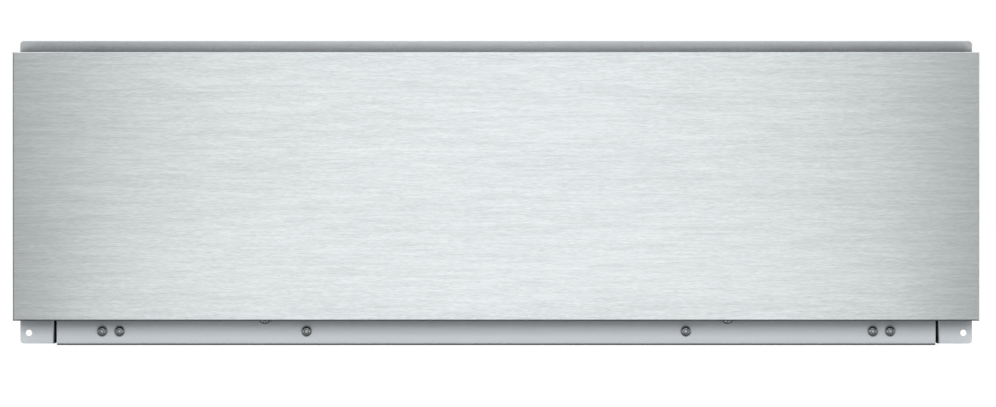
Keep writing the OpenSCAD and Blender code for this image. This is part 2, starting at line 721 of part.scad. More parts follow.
module rear_insulation() color(wool) difference() {
    block([-cavity_x, cavity_y + sheet_t + gap, base_t + gap],
        [cavity_x, cavity_y + sheet_t + gap + rear_blanket_t, ceiling_z]);
    for (x = [element_x[0], element_x[runs - 1]]) bar_y(x, element_z, cavity_y, inner_rear_y, bush_r + 2);
    bar_y(probe[0], probe[1], cavity_y, inner_rear_y, probe_r + 4);
    bar_y(cutout[0], cutout[1], cavity_y, inner_rear_y, cutout_r + 2);
}

module floor_insulation() color(wool) difference() {
    block([gap - cavity_x, strip_y + front_run, base_t + gap],
        [cavity_x - gap, cavity_y - gap, tray_z - gap]);
    for (p = clips) bar_z(p[0] + clip_hole, p[1], 0, tray_z, small_r + 2);
}

// ---- Heater and electrics -----------------------------------------------------------------

// The element goes back and forth, with half-round bends at the ends of its runs
function element_path() = concat([[element_x[0], element_end, element_z]],
    [for (i = [0:runs - 2], j = [0, 1]) [element_x[i + j], i % 2 == 0 ? element_y0 : element_y1, element_z]],
    [[element_x[runs - 1], element_end, element_z]]);

module heating_element() {
    color("#6b5f57") bent_wire(element_path(), element_r, element_pitch / 2);
    color(bright) for (x = [element_x[0], element_x[runs - 1]]) {
        bar_y(x, element_z, element_end, element_end + stud_l, small_r);
        block([x - blade_w / 2, element_end + stud_l, element_z - blade_t / 2],
            [x + blade_w / 2, element_end + stud_l + blade_l, element_z + blade_t / 2]);
    }
}

// Spring clips that hold the element above the tray
module element_clips() for (p = clips) {
    bore = element_r + fit_gap;
    color(bright) difference() {
        translate([p[0], 0, 0]) along_y(p[1] - clip_w / 2, p[1] + clip_w / 2) {
            translate([0, element_z]) difference() {
                circle(bore + clip_t);
                circle(bore);
                translate([-1.5 * element_r, element_r / 2]) square(2 * element_r, center = true);
            }
            translate([-clip_t / 2, tray_top]) square([clip_t, element_lift - bore - clip_t / 2]);
            translate([-clip_t / 2, tray_top]) square([clip_foot, clip_t]);
        }
        bar_z(p[0] + clip_hole, p[1], tray_top - eps, tray_top + clip_t + eps, small_r + hole_gap);
    }
    color(bright) translate([p[0] + clip_hole, p[1], tray_top + clip_t]) cross_screw(clip_grip);
}

module element_bushings() color(ceramic) for (x = [element_x[0], element_x[runs - 1]]) difference() {
    union() {
        bar_y(x, element_z, cavity_y - 3, cavity_y, bush_r);
        bar_y(x, element_z, cavity_y - 3, cavity_y + sheet_t + 6, bush_r - 2);
    }
    bar_y(x, element_z, cavity_y - 3 - eps, inner_rear_y, element_r + fit_gap);
}

cutout_y = cavity_y + sheet_t;
module thermal_cutout() {
    color(black) bar_y(cutout[0], cutout[1], cutout_y, cutout_y + cutout_d, cutout_r);
    color(bright) for (s = [-1, 1])
        block([cutout[0] + cutout_tab_x * s - tab_w / 2, cutout_y + cutout_d, cutout[1] - 3],
            [cutout[0] + cutout_tab_x * s + tab_w / 2, cutout_y + cutout_d + 11, cutout[1] + 3]);
}

// Bulb in the cavity, and the capillary tube that leads to the thermostat
probe_y = inner_rear_y - 8;               // where the capillary climbs behind the rear blanket
capillary_z = control_z - thermostat_z + 1.5;
module temperature_probe() color(bright) {
    y = cavity_y + sheet_t;
    bar_y(probe[0], probe[1], cavity_y - 9, y + 8, probe_r);
    bar_y(probe[0], probe[1], y, y + 3, probe_r + 3);
    bent_wire([[probe[0], y + 8, probe[1]], [probe[0], probe_y, probe[1]], [probe[0], probe_y, capillary_z],
        [probe[0], face_y + 100, capillary_z], [knob_x - 5, face_y + 100, capillary_z],
        [knob_x - 5, thermostat_end, capillary_z]], 0.8, 5);
}

block_w = 34;
block_h = 18;
block_y = inner_rear_y - 13;              // front of the terminal block
module terminal_block() color(ceramic) difference() {
    union() {
        block([cover_x - block_w / 2, block_y, entry_z - block_h / 2],
            [cover_x + block_w / 2, inner_rear_y + 8, entry_z + block_h / 2]);
        block([cover_x - entry_w / 2 - 6, inner_rear_y - 4, entry_z - block_h / 2],
            [cover_x + entry_w / 2 + 6, inner_rear_y, entry_z + block_h / 2]);
    }
    for (x = [-11, 0, 11]) {
        bar_y(cover_x + x, entry_z + 3, inner_rear_y + 2, inner_rear_y + 8 + eps, 3);
        bar_y(cover_x + x, entry_z - 5, inner_rear_y + 2, inner_rear_y + 8 + eps, 1.8);
    }
}

// Cover over the mains terminals, open towards the rear panel, with two ears
module terminal_cover() color(steel) difference() {
    x0 = cover_x - cover_w / 2;
    x1 = cover_x + cover_w / 2;
    union() {
        along_z(cover_z, cover_z + cover_h) polygon(corners(x0, rear_y, x1, rear_y + cover_d, [0, 0, 3, 3]));
        block([x0 - cover_ear, rear_y, cover_z + 16],
            [x1 + cover_ear, rear_y + sheet_t, cover_z + cover_h - 16]);
    }
    block([x0 + cover_t, rear_y - eps, cover_z + cover_t],
        [x1 - cover_t, rear_y + cover_d - cover_t, cover_z + cover_h - cover_t]);
    bar_z(cover_x, gland_y, cover_z - eps, cover_z + cover_t + eps, gland_r - 2 + hole_gap);
    at_ears() bar_y(0, 0, rear_y - eps, rear_y + sheet_t + eps, small_r + hole_gap);
}

// Gland through the cover's underside: a flanged spout below and a hexagon nut above
module cable_gland() color(black) translate([cover_x, gland_y, cover_z]) difference() {
    union() {
        translate([0, 0, 5 - gland_len]) cylinder(r1 = gland_r - 3, r2 = gland_r - 1.5, h = gland_len - 8);
        translate([0, 0, -3]) cylinder(r = gland_r, h = 3);
        translate([0, 0, -1]) cylinder(r = gland_r - 2, h = 6);
        translate([0, 0, cover_t]) cylinder(r = gland_r, h = 3, $fn = 6);
    }
    translate([0, 0, -gland_len]) cylinder(r = gland_bore_r, h = gland_len + 10);
}

// Wires run forward over the blanket and end at the thermostat's tabs, which stand 6 mm apart.
// A wire that starts nearly in line with its tab runs straight to it
lead_r = 1.3;
lead_bend = 3;
lamp_lead_r = 1;
function tab_x(i) = knob_x + (i - 1.5) * 6;
function lane(x, i) = abs(x - tab_x(i)) < 2 * lead_bend ? tab_x(i) : x;
function run_home(x, y, z0, z, turn_y, i) =
    concat([[lane(x, i), y, z0], [lane(x, i), y, z]],
        lane(x, i) == tab_x(i) ? [] : [[x, turn_y, z], [tab_x(i), turn_y, z]],
        [[tab_x(i), thermostat_end, z]]);

module internal_wiring() {
    high = control_z + 4;
    low = control_z - 3;
    y = element_end + stud_l + blade_l / 2;
    z = element_z + blade_t / 2;
    for (s = [0, 1]) color("#2c4f8a") bent_wire(run_home(cover_x - 9 + 18 * s, block_y + 5,
        entry_z + block_h / 2, high, face_y + 90 - 12 * s, s), lead_r, lead_bend);
    tab_out = cutout_tab_x + tab_w / 2;
    turn_x = cutout[0] + 90;
    // element, thermal cut-out and thermostat in series
    color("#7a2d20") bent_wire(run_home(element_x[runs - 1], y, z, low, face_y + 90, 3), lead_r, lead_bend);
    color("#7a2d20") bent_wire([[element_x[0], y, z], [element_x[0], y, cutout[1]],
        [cutout[0] - tab_out, y, cutout[1]]], lead_r, lead_bend);
    color("#7a2d20") bent_wire([[cutout[0] + tab_out, y, cutout[1]], [turn_x, y, cutout[1]],
        [turn_x, y, low], [turn_x, face_y + 70, low], [tab_x(2), face_y + 70, low],
        [tab_x(2), thermostat_end, low]], lead_r, lead_bend);
    for (s = [-1, 1]) color("#3d7a3a") bent_wire([[lamp_x + 2.5 * s, face_y + 22, control_z + 3 * s],
        [lamp_x + 2.5 * s, face_y + 28, control_z + 3 * s],
        [knob_x - thermostat_x, face_y + 28, control_z + 3 * s]], lamp_lead_r, lead_bend);
}

// ---- Controls -----------------------------------------------------------------------------

module control_fascia() color(black) difference() {
    x0 = lamp_x - fascia_end;
    x1 = knob_x + fascia_end;
    z0 = control_z - fascia_h / 2;
    z1 = control_z + fascia_h / 2;
    c = fascia_wall + gap;
    w = c + fascia_wall;
    union() {
        along_y(face_y - fascia_t, face_y) polygon(corners(x0, z0, x1, z1, [3, 3, 3, 3]));
        block([x0 + c, face_y - fascia_t / 2, z0 + c], [x1 - c, face_y + fascia_depth, z1 - c]);
    }
    block([x0 + w, face_y + fascia_t, z0 + w], [x1 - w, face_y + fascia_depth + eps, z1 - w]);
    bar_y(knob_x, control_z, face_y - 3, face_y + 3, shaft_r + 1);
    bar_y(lamp_x, control_z, face_y - 3, face_y + 3, 3.5 + fit_gap);
}

module thermostat() {
    color(black) difference() {
        union() {
            block([knob_x - thermostat_x - 2, thermostat_y, control_z - thermostat_z],
                [knob_x + thermostat_x + 2, thermostat_y + 8, control_z + thermostat_z]);
            block([knob_x - thermostat_x, thermostat_y + 8, control_z - thermostat_z],
                [knob_x + thermostat_x, thermostat_end - 4, control_z + thermostat_z]);
        }
        bar_y(knob_x, control_z, thermostat_y - eps, thermostat_y + 8, shaft_r + fit_gap);
    }
    color(bright) for (i = [0:3], z = [-3, 4]) block([tab_x(i) - 2, thermostat_end - 4, control_z + z - 0.4],
        [tab_x(i) + 2, thermostat_end, control_z + z + 0.4]);
    color(bright) bar_y(knob_x - 5, capillary_z, thermostat_end - 4, thermostat_end, 1.4);
}

// Shaft with a flat for the knob
shaft_flat = 0.6;                         // height of the flat, in radii of the shaft
knob_y1 = face_y - fascia_t - gap;
knob_y0 = knob_y1 - knob_h;
shaft_y = face_y - 9;
module thermostat_shaft() color(bright) shaft(shaft_y, thermostat_y + 8 - gap, shaft_r);
module shaft(y0, y1, r) difference() {
    bar_y(knob_x, control_z, y0, y1, r);
    block([knob_x - 2 * r, y0 - eps, control_z + shaft_flat * r],
        [knob_x + 2 * r, knob_y1, control_z + 2 * r]);
}

// Knob with a skirt, ribbed grip and pointer line
module temperature_knob() color(bright) difference() {
    union() {
        bar_y(knob_x, control_z, knob_y1 - 2.5, knob_y1, knob_r);
        translate([knob_x, knob_y1 - 2.5, control_z]) rotate([90, 0, 0])
            cylinder(r1 = knob_r - 1, r2 = knob_r - 1.8, h = knob_h - 2.5);
    }
    shaft(shaft_y - gap, face_y, shaft_r + fit_gap / 2);
    block([knob_x - 0.5, knob_y0 - eps, control_z + 3], [knob_x + 0.5, knob_y0 + 0.6, control_z + knob_r]);
    for (i = [0:23]) translate([knob_x, 0, control_z]) rotate([0, i * 15, 0])
        bar_y(knob_r - 1, 0, knob_y0 - eps, knob_y1 - 3, 0.45);
}

module pilot_lamp() {
    color("#e0902a") bar_y(lamp_x, control_z, face_y - 2, face_y + fascia_t + gap, 3.5);
    color(black) bar_y(lamp_x, control_z, face_y + fascia_t + gap, face_y + 22, 5);
}

// ---- Touch latches ------------------------------------------------------------------------

module latch_plunger(s) {
    color(black) bar_y(s * latch_x, control_z, plunger_y + 2, plunger_end, plunger_r);
    color(bright) bar_y(s * latch_x, control_z, plunger_y, plunger_y + 2, plunger_r - 0.5);
}
module left_latch_plunger() latch_plunger(-1);
module right_latch_plunger() latch_plunger(1);

module latch_housings() color(black) both_sides() difference() {
    w = latch_w / 2;
    union() {
        along_y(latch_y, latch_y + latch_d)
            polygon(corners(latch_x - w, control_z - w, latch_x + w, control_z + w, [2, 2, 2, 2]));
        block([latch_x - w - latch_ear, latch_y, control_z - latch_ear_h / 2],
            [latch_x + w + latch_ear, latch_y + latch_wall, control_z + latch_ear_h / 2]);
    }
    bar_y(latch_x, control_z, latch_y - eps, latch_y + latch_d - latch_wall, plunger_r + fit_gap);
}

// Springs, drawn as sleeves at the length that they have with the plungers pressed
module latch_springs() color(bright) both_sides() difference() {
    end = latch_y + latch_d - latch_wall;
    bar_y(latch_x, control_z, plunger_end + press + gap, end, plunger_r - spring_play);
    bar_y(latch_x, control_z, plunger_end, end + eps, plunger_r - spring_play - spring_t);
}

// Steel plates that the latches' magnets hold
module strike_plates() color(zinc) both_sides() along_y(back_y, back_y + strike_t) polygon(corners(
    latch_x - strike_x, control_z - strike_z, latch_x + strike_x, control_z + strike_z, [2, 2, 2, 2]));

// ---- Slides -------------------------------------------------------------------------------

// Sections are drawn inward from the right-hand cavity wall, about the slide's centre line
module in_slide() translate([cavity_x, 0, slide_z]) mirror([1, 0, 0]) children();

module outer_rail() color(zinc) in_slide() difference() {
    h = slide_h / 2;
    arm = slide_t - 2.9;
    i = outer_in;
    lip = arm - lip_t;
    along_y(slide_y, slide_y + slide_len) polygon([[0, -h], [arm, -h], [arm, -i + lip_h], [lip, -i + lip_h],
        [lip, -i], [rail_t, -i], [rail_t, i], [lip, i], [lip, i - lip_h], [arm, i - lip_h],
        [arm, h], [0, h]]);
    for (y = slide_holes) translate([0, y, 0]) rotate([0, 90, 0]) countersink(0.05);
}
// Countersunk head whose wide face is at the inside of the outer rail
module countersink(play) {
    translate([0, 0, -eps]) cylinder(r = shank_r + play, h = eps);
    cylinder(r1 = shank_r + play, r2 = shank_r + rail_t + play, h = rail_t);
    translate([0, 0, rail_t]) cylinder(r = shank_r + rail_t + play, h = play);
}

module middle_rail() color(zinc) in_slide() difference() {
    x0 = middle_x;
    arm = slide_t - 1.8;
    o = middle_out;
    i = middle_in;
    lip = arm - lip_t;
    along_y(slide_y, slide_y + slide_len) polygon([[x0, -o], [lip, -o], [lip, -o - lip_h],
        [arm, -o - lip_h], [arm, -i + lip_h], [lip, -i + lip_h], [lip, -i], [x0 + rail_t, -i],
        [x0 + rail_t, i], [lip, i], [lip, i - lip_h], [arm, i - lip_h], [arm, o + lip_h],
        [lip, o + lip_h], [lip, o], [x0, o]]);
    for (y = slide_holes) bar_x(y, 0, x0 - eps, x0 + rail_t + eps, 5);
}

module inner_rail() color(zinc) in_slide() difference() {
    o = inner_out;
    i = inner_out - rail_t;
    along_y(slide_y, slide_y + slide_len) polygon([[arm_in, -o - lip_h], [arm_in + lip_t, -o - lip_h],
        [arm_in + lip_t, -o], [slide_t, -o], [slide_t, o], [arm_in + lip_t, o], [arm_in + lip_t, o + lip_h],
        [arm_in, o + lip_h], [arm_in, i], [slide_t - rail_t, i], [slide_t - rail_t, -i], [arm_in, -i]]);
    for (y = slide_holes) bar_x(y, 0, slide_t - rail_t - eps, slide_t + eps, small_r + hole_gap);
}

// Ball cage: a thin channel from x0 to x1 with two rows of balls, z_ball above and below the middle
module cage(x0, x_ball, x1, z_ball) color(bright) in_slide() {
    y0 = slide_y + cage_off;
    lo = z_ball - cage_t / 2;
    hi = z_ball + cage_t / 2;
    places = [for (s = [-1, 1], i = [0:balls - 1]) [x_ball, y0 + cage_len * (i + 0.5) / balls, s * z_ball]];
    difference() {
        along_y(y0, y0 + cage_len) polygon([[x0, -hi], [x1, -hi], [x1, -lo], [x0 + cage_t, -lo],
            [x0 + cage_t, lo], [x1, lo], [x1, hi], [x0, hi]]);
        for (p = places) translate(p) cylinder(r = ball_r + 0.02, h = 4 * cage_t, center = true);
    }
    for (p = places) translate(p) sphere(ball_r);
}
module outer_cage() cage(rail_t + (web_gap - cage_t) / 2, outer_ball_x, outer_ball_x + cage_past,
    (outer_in + middle_out) / 2);
module inner_cage() cage(middle_x + rail_t + inner_cage_gap, inner_ball_x, inner_ball_x + cage_past - 0.1,
    (middle_in + inner_out) / 2);

module right_outer_rail() outer_rail();
module right_middle_rail() middle_rail();
module right_inner_rail() inner_rail();
module right_outer_cage() outer_cage();
module right_inner_cage() inner_cage();
module left_outer_rail() on_left() outer_rail();
module left_middle_rail() on_left() middle_rail();
module left_inner_rail() on_left() inner_rail();
module left_outer_cage() on_left() outer_cage();
module left_inner_cage() on_left() inner_cage();

// Countersunk screws that hold the outer rails to the cavity walls
module rail_screws() color(bright) both_sides() in_slide() for (y = slide_holes)
    translate([0, y, 0]) rotate([0, 90, 0]) difference() {
        union() {
            countersink(0);
            translate([0, 0, -4]) cylinder(r = shank_r, h = 4);
        }
        for (a = [0, 90]) rotate(a) translate([-1.6, -0.35, rail_t - 0.8]) cube([3.2, 0.7, 1]);
    }

// ---- Drawer -------------------------------------------------------------------------------

// Front: a brushed sheet folded on four sides, with a return along each rear edge
module front_panel() color(brushed) difference() {
    r = [skin_r, skin_r, skin_r, skin_r];
    intersection() {
        along_z(front_z, front_top) polygon(corners(-front_x, front_y, front_x, skin_y, r));
        along_x(-front_x, front_x) polygon(corners(front_y, front_z, skin_y, front_top, r));
    }
    block([skin_t - front_x, front_y + skin_t, front_z + skin_t],
        [front_x - skin_t, skin_y - skin_t, front_top - skin_t]);
    block([skin_t + return_w - front_x, front_y + 2 * skin_t, front_z + skin_t + return_w],
        [front_x - skin_t - return_w, skin_y + eps, front_top - skin_t - top_return]);
    for (p = plate_screws) bar_y(p[0], p[1], skin_y - 2 * skin_t, skin_y + eps, small_r + hole_gap);
}

// Plate behind the front, with a fold over its insulation and two tabs for the strike plates
module front_backplate() color(steel) difference() {
    tab = strike_x + 2;
    union() {
        difference() {
            along_x(-plate_x, plate_x) polygon(folded([[back_y, plate_z0], [back_y, plate_z1],
                [back_y - plate_fold, plate_z1]], plate_t, fold_r));
            both_sides() block([latch_x - tab - 1, back_y - plate_fold - eps, plate_z1 - 4],
                [latch_x + tab + 1, skin_y, plate_z1 + eps]);
            both_sides() block([front_x - skin_t - return_w, back_y - plate_fold - eps, plate_z1 - 4],
                [plate_x + eps, skin_y, plate_z1 + eps]);
        }
        both_sides() along_y(skin_y, back_y) polygon(corners(latch_x - tab, plate_z1 - 6, latch_x + tab,
            control_z + strike_z + 0.2, [0, 0, 3, 3]));
    }
    for (p = concat(plate_screws, tub_screws))
        bar_y(p[0], p[1], skin_y - eps, back_y + eps, small_r + hole_gap);
}

module front_insulation() color(wool) block([skin_t + gap - front_x, front_y + skin_t + gap, plate_z0],
    [front_x - skin_t - gap, skin_y - skin_t - gap, plate_z1 - plate_t - gap]);

module drawer_seal() color(rubber) along_y(back_y, back_y + seal_t) difference() {
    o = seal_w / 2;
    polygon(corners(-seal_x - o, seal_z0 - o, seal_x + o, seal_z1 + o, [for (i = [0:3]) 2 * o]));
    polygon(corners(o - seal_x, seal_z0 + o, seal_x - o, seal_z1 - o, [for (i = [0:3]) o / 2]));
}

// Tub with round upright corners and round lower edges
module tub_form(x, y0, y1, z0, z1, r, f) intersection() {
    along_z(z0, z1) polygon(corners(-x, y0, x, y1, [r, r, r, r]));
    along_y(y0, y1) polygon(corners(-x, z0, x, z1, [f, f, 0, 0]));
    along_x(-x, x) polygon(corners(y0, z0, y1, z1, [f, f, 0, 0]));
}

module drawer_tub() color(bright) difference() {
    union() {
        tub_form(tub_x, back_y, tub_end, tub_z, tub_top, tub_r, tub_fold);
        along_z(tub_top - tub_t, tub_top) polygon(corners(-tub_x - rim_w, back_y,
            tub_x + rim_w, tub_end + rim_w, [for (i = [0:3]) tub_r + rim_w]));
    }
    tub_form(tub_x - tub_t, back_y + tub_t, tub_end - tub_t, tub_floor, tub_top + eps, tub_r - tub_t,
        tub_fold - tub_t);
    for (p = tub_screws) bar_y(p[0], p[1], back_y - eps, back_y + tub_t + eps, small_r + hole_gap);
    both_sides() for (y = slide_holes)
        bar_x(y, slide_z, tub_x - tub_t - eps, tub_x + eps, small_r + hole_gap);
}

module drawer_screws() color(bright) {
    for (p = tub_screws) facing_back(p[0], back_y + tub_t, p[1]) rotate(p[1]) cross_screw(3);
    for (p = plate_screws) facing_back(p[0], back_y, p[1]) rotate(p[1]) cross_screw(2);
    both_sides() for (y = slide_holes) translate([tub_x - tub_t, y, slide_z]) rotate([0, -90, 0]) rotate(y)
        cross_screw(4);
}

module anti_slip_mat() color(rubber) along_z(tub_floor, mat_z) polygon(corners(
    mat_inset - tub_x, back_y + mat_inset, tub_x - mat_inset, tub_end - mat_inset, [8, 8, 8, 8]));

// ---- Rack ---------------------------------------------------------------------------------

module wire_rack() color(bright) {
    y = (rack_y0 + rack_y1) / 2;
    bar_r = rack_r - 0.5;
    top = rack_z + rack_r;
    count = floor((rack_x - rack_bend) / wire_pitch);
    bent_wire([[0, rack_y0, rack_z], [rack_x, rack_y0, rack_z], [rack_x, rack_y1, rack_z],
        [-rack_x, rack_y1, rack_z], [-rack_x, rack_y0, rack_z], [0, rack_y0, rack_z]], rack_r, rack_bend);
    bar_x(y, top - bar_r, -rack_x, rack_x, bar_r);
    for (i = [-count:count]) bar_y(i * wire_pitch, top + wire_r - 0.6, rack_y0 - 1, rack_y1 + 1, wire_r);
}

// Bent wires that are welded under the rack's frame
module rack_legs() color(bright) both_sides() {
    z = rack_z - rack_r;
    bent_wire([[rack_x, rack_y0 + leg_in, z], [rack_x, rack_y0 + leg_in, leg_z],
        [rack_x, rack_y1 - leg_in, leg_z], [rack_x, rack_y1 - leg_in, z]], leg_r, 8);
}

// Sleeves on the lower runs of the rack's legs
module rack_feet() color(rubber) both_sides() for (y = [rack_y0 + leg_in + 15, rack_y1 - leg_in - 35])
    difference() {
        bar_y(rack_x, leg_z, y, y + 20, foot_r);
        bar_y(rack_x, leg_z, y - eps, y + 20 + eps, leg_r + fit_gap / 2);
    }

// ---- Drawing ------------------------------------------------------------------------------

base_pan();
left_side_panel();
right_side_panel();
top_cover();
rear_panel();
header_plate();
sill_stiffener();
corner_brackets();
strip_screws();
housing_screws();
rear_screws();
left_cavity_wall();
right_cavity_wall();
cavity_ceiling();
cavity_rear_wall();
reflector_tray();
side_insulation();
top_insulation();
rear_insulation();
floor_insulation();
heating_element();
element_clips();
element_bushings();
thermal_cutout();
temperature_probe();
terminal_block();
terminal_cover();
cable_gland();
internal_wiring();
control_fascia();
thermostat();
thermostat_shaft();
temperature_knob();
pilot_lamp();
latch_housings();
latch_springs();
left_latch_plunger();
right_latch_plunger();
left_outer_rail();
left_middle_rail();
left_inner_rail();
left_outer_cage();
left_inner_cage();
right_outer_rail();
right_middle_rail();
right_inner_rail();
right_outer_cage();
right_inner_cage();
rail_screws();
front_panel();
front_backplate();
front_insulation();
strike_plates();
drawer_seal();
drawer_tub();
drawer_screws();
anti_slip_mat();
wire_rack();
rack_legs();
rack_feet();
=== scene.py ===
# Built-in warming drawer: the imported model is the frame, and this script dresses and lights it.
import math
import random
import bpy
import bmesh
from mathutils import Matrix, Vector, noise


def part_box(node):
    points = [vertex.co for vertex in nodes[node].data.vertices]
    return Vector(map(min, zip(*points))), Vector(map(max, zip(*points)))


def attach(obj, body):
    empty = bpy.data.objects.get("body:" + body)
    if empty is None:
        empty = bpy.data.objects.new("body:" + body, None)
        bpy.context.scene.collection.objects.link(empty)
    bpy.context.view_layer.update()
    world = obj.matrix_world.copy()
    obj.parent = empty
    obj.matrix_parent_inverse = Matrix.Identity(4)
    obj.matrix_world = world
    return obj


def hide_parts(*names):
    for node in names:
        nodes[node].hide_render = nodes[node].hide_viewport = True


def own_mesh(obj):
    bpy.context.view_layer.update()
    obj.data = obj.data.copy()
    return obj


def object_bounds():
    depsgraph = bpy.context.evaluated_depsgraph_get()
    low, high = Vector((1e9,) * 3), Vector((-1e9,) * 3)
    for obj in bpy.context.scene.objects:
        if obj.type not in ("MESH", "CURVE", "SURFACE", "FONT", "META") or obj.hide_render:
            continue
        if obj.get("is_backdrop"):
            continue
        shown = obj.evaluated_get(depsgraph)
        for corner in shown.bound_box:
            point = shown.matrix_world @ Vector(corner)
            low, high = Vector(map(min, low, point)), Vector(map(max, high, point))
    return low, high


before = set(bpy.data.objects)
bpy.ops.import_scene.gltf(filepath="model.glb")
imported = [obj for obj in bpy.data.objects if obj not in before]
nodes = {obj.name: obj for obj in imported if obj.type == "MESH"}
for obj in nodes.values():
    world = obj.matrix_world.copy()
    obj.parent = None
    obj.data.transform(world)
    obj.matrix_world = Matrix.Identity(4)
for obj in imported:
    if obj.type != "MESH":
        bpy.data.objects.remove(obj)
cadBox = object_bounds()
random.seed(7)
mm = 0.001
print("frame:", len(nodes), "nodes")

# The camera comes first: straight at the front, a long way off, with the photograph's framing
shot = {
    "imageWidth": 996, "pixelsPerMetre": 1280.06,  # at the plane of the drawer's front
    "distance": 2.5, "height": 0.125, "sensor": 36.0,
    "left": 1.85, "up": 17.1,                      # pixels that the front stands off the middle
}
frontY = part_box("front_panel")[0].y
cameraData = bpy.data.cameras.new("camera")
cameraData.sensor_width = shot["sensor"]
cameraData.lens = shot["pixelsPerMetre"] * shot["distance"] / shot["imageWidth"] * shot["sensor"]
cameraData.shift_x = shot["left"] / shot["imageWidth"]
cameraData.shift_y = -shot["up"] / shot["imageWidth"]
cameraObject = bpy.data.objects.new("camera", cameraData)
bpy.context.scene.collection.objects.link(cameraObject)
cameraObject.location = (0, frontY - shot["distance"], shot["height"])
cameraObject.rotation_euler = (math.pi / 2, 0, 0)
bpy.context.scene.camera = cameraObject
bpy.context.scene.view_settings.view_transform = "Standard"
print("camera: lens", round(cameraData.lens, 1), "mm")


# Node helpers: an input takes a number, a vector, a colour or another node's output
def setInputs(tree, node, inputs):
    for key, value in inputs.items():
        socket = node.inputs[key]
        if isinstance(value, bpy.types.NodeSocket):
            tree.links.new(value, socket)
        elif socket.type == "RGBA":
            socket.default_value = (*value, 1)
        else:
            socket.default_value = value


def addNode(tree, kind, inputs=None, **settings):
    made = tree.nodes.new(kind)
    row, column = divmod(len(tree.nodes), 6)
    made.location = (220 * column - 700, -300 * row)
    for key, value in settings.items():
        setattr(made, key, value)
    setInputs(tree, made, inputs or {})
    return made


def mathNode(tree, operation, a, b=None, clamp=False):
    inputs = {0: a} if b is None else {0: a, 1: b}
    return addNode(tree, "ShaderNodeMath", inputs, operation=operation, use_clamp=clamp).outputs[0]


def vectorNode(tree, operation, a, b=None):
    second = 3 if operation == "SCALE" else 1
    inputs = {0: a} if b is None else {0: a, second: b}
    made = addNode(tree, "ShaderNodeVectorMath", inputs, operation=operation)
    return made.outputs["Value" if operation == "DOT_PRODUCT" else "Vector"]


def axesOf(tree, vector):
    return addNode(tree, "ShaderNodeSeparateXYZ", {0: vector}).outputs


def objectPlace(tree):
    return addNode(tree, "ShaderNodeTexCoord").outputs["Object"]


def noiseNode(tree, place, scale, **settings):
    inputs = {"Vector": place, "Scale": scale}
    inputs.update((key.capitalize(), value) for key, value in settings.items())
    return addNode(tree, "ShaderNodeTexNoise", inputs).outputs[0]


def rangeNode(tree, value, lowIn, highIn, lowOut, highOut, smooth=False):
    inputs = {0: value, 1: lowIn, 2: highIn, 3: lowOut, 4: highOut}
    curve = "SMOOTHSTEP" if smooth else "LINEAR"
    return addNode(tree, "ShaderNodeMapRange", inputs, interpolation_type=curve).outputs[0]


def colourMix(tree, factor, a, b):
    return addNode(tree, "ShaderNodeMix", {0: factor, 6: a, 7: b}, data_type="RGBA").outputs[2]


def numberMix(tree, factor, a, b):
    return addNode(tree, "ShaderNodeMix", {0: factor, 2: a, 3: b}, data_type="FLOAT").outputs[0]


def shaderMix(tree, factor, a, b):
    return addNode(tree, "ShaderNodeMixShader", {0: factor, 1: a, 2: b}).outputs[0]


def twoTones(tree, a, b, share):
    # b makes up a share of the sum
    first = mathNode(tree, "MULTIPLY", a, 1 - share)
    return mathNode(tree, "ADD", first, mathNode(tree, "MULTIPLY", b, share))


def newGroup(name, inputs, outputs):
    group = bpy.data.node_groups.new(name, "ShaderNodeTree")
    kinds = {"value": "NodeSocketFloat", "vector": "NodeSocketVector"}
    for label, default in inputs.items():           # a number makes a value, and a tuple a vector
        kind = "value" if isinstance(default, float) else "vector"
        socket = group.interface.new_socket(name=label, in_out="INPUT", socket_type=kinds[kind])
        socket.default_value = default
    for label, kind in outputs.items():
        group.interface.new_socket(name=label, in_out="OUTPUT", socket_type=kinds[kind])
    return group, addNode(group, "NodeGroupInput").outputs


def closeGroup(group, results):
    addNode(group, "NodeGroupOutput", results)
    return group


# Streaks of a brushed, rolled or drawn surface: noise stretched along the grain, at three lengths
grainShape = {
    "layers": ((1.0, 3.0, 0.62), (0.16, 2.0, 0.5), (0.03, 1.0, 0.4)),  # share of the scale, detail, roughness
    "long": 0.4, "broad": 0.15,                     # strength of the two longer ones
}


def makeGrain():
    g, given = newGroup("surfaceGrain", {"Streaks": (110, 110, 1100), "Contrast": 0.5},
        {"Tone": "value", "Height": "value"})
    place = objectPlace(g)
    layers = []
    for share, detail, rough in grainShape["layers"]:
        scale = vectorNode(g, "SCALE", given["Streaks"], share)
        step = vectorNode(g, "MULTIPLY", place, scale)
        layer = noiseNode(g, step, 1, detail=detail, roughness=rough)
        layers.append(mathNode(g, "SUBTRACT", layer, 0.5))
    fine, long, broad = layers
    height = mathNode(g, "ADD", fine, mathNode(g, "MULTIPLY", long, grainShape["long"]))
    total = mathNode(g, "ADD", height, mathNode(g, "MULTIPLY", broad, grainShape["broad"]))
    spread = mathNode(g, "MULTIPLY", total, given["Contrast"])
    return closeGroup(g, {"Tone": mathNode(g, "ADD", spread, 0.5, clamp=True), "Height": height})


# Bright, rubbed edges, and a normal that rounds them
edgeShape = {"samples": 4, "gain": 7, "patchScale": 55, "patches": (0.38, 0.62, 0.25, 1)}


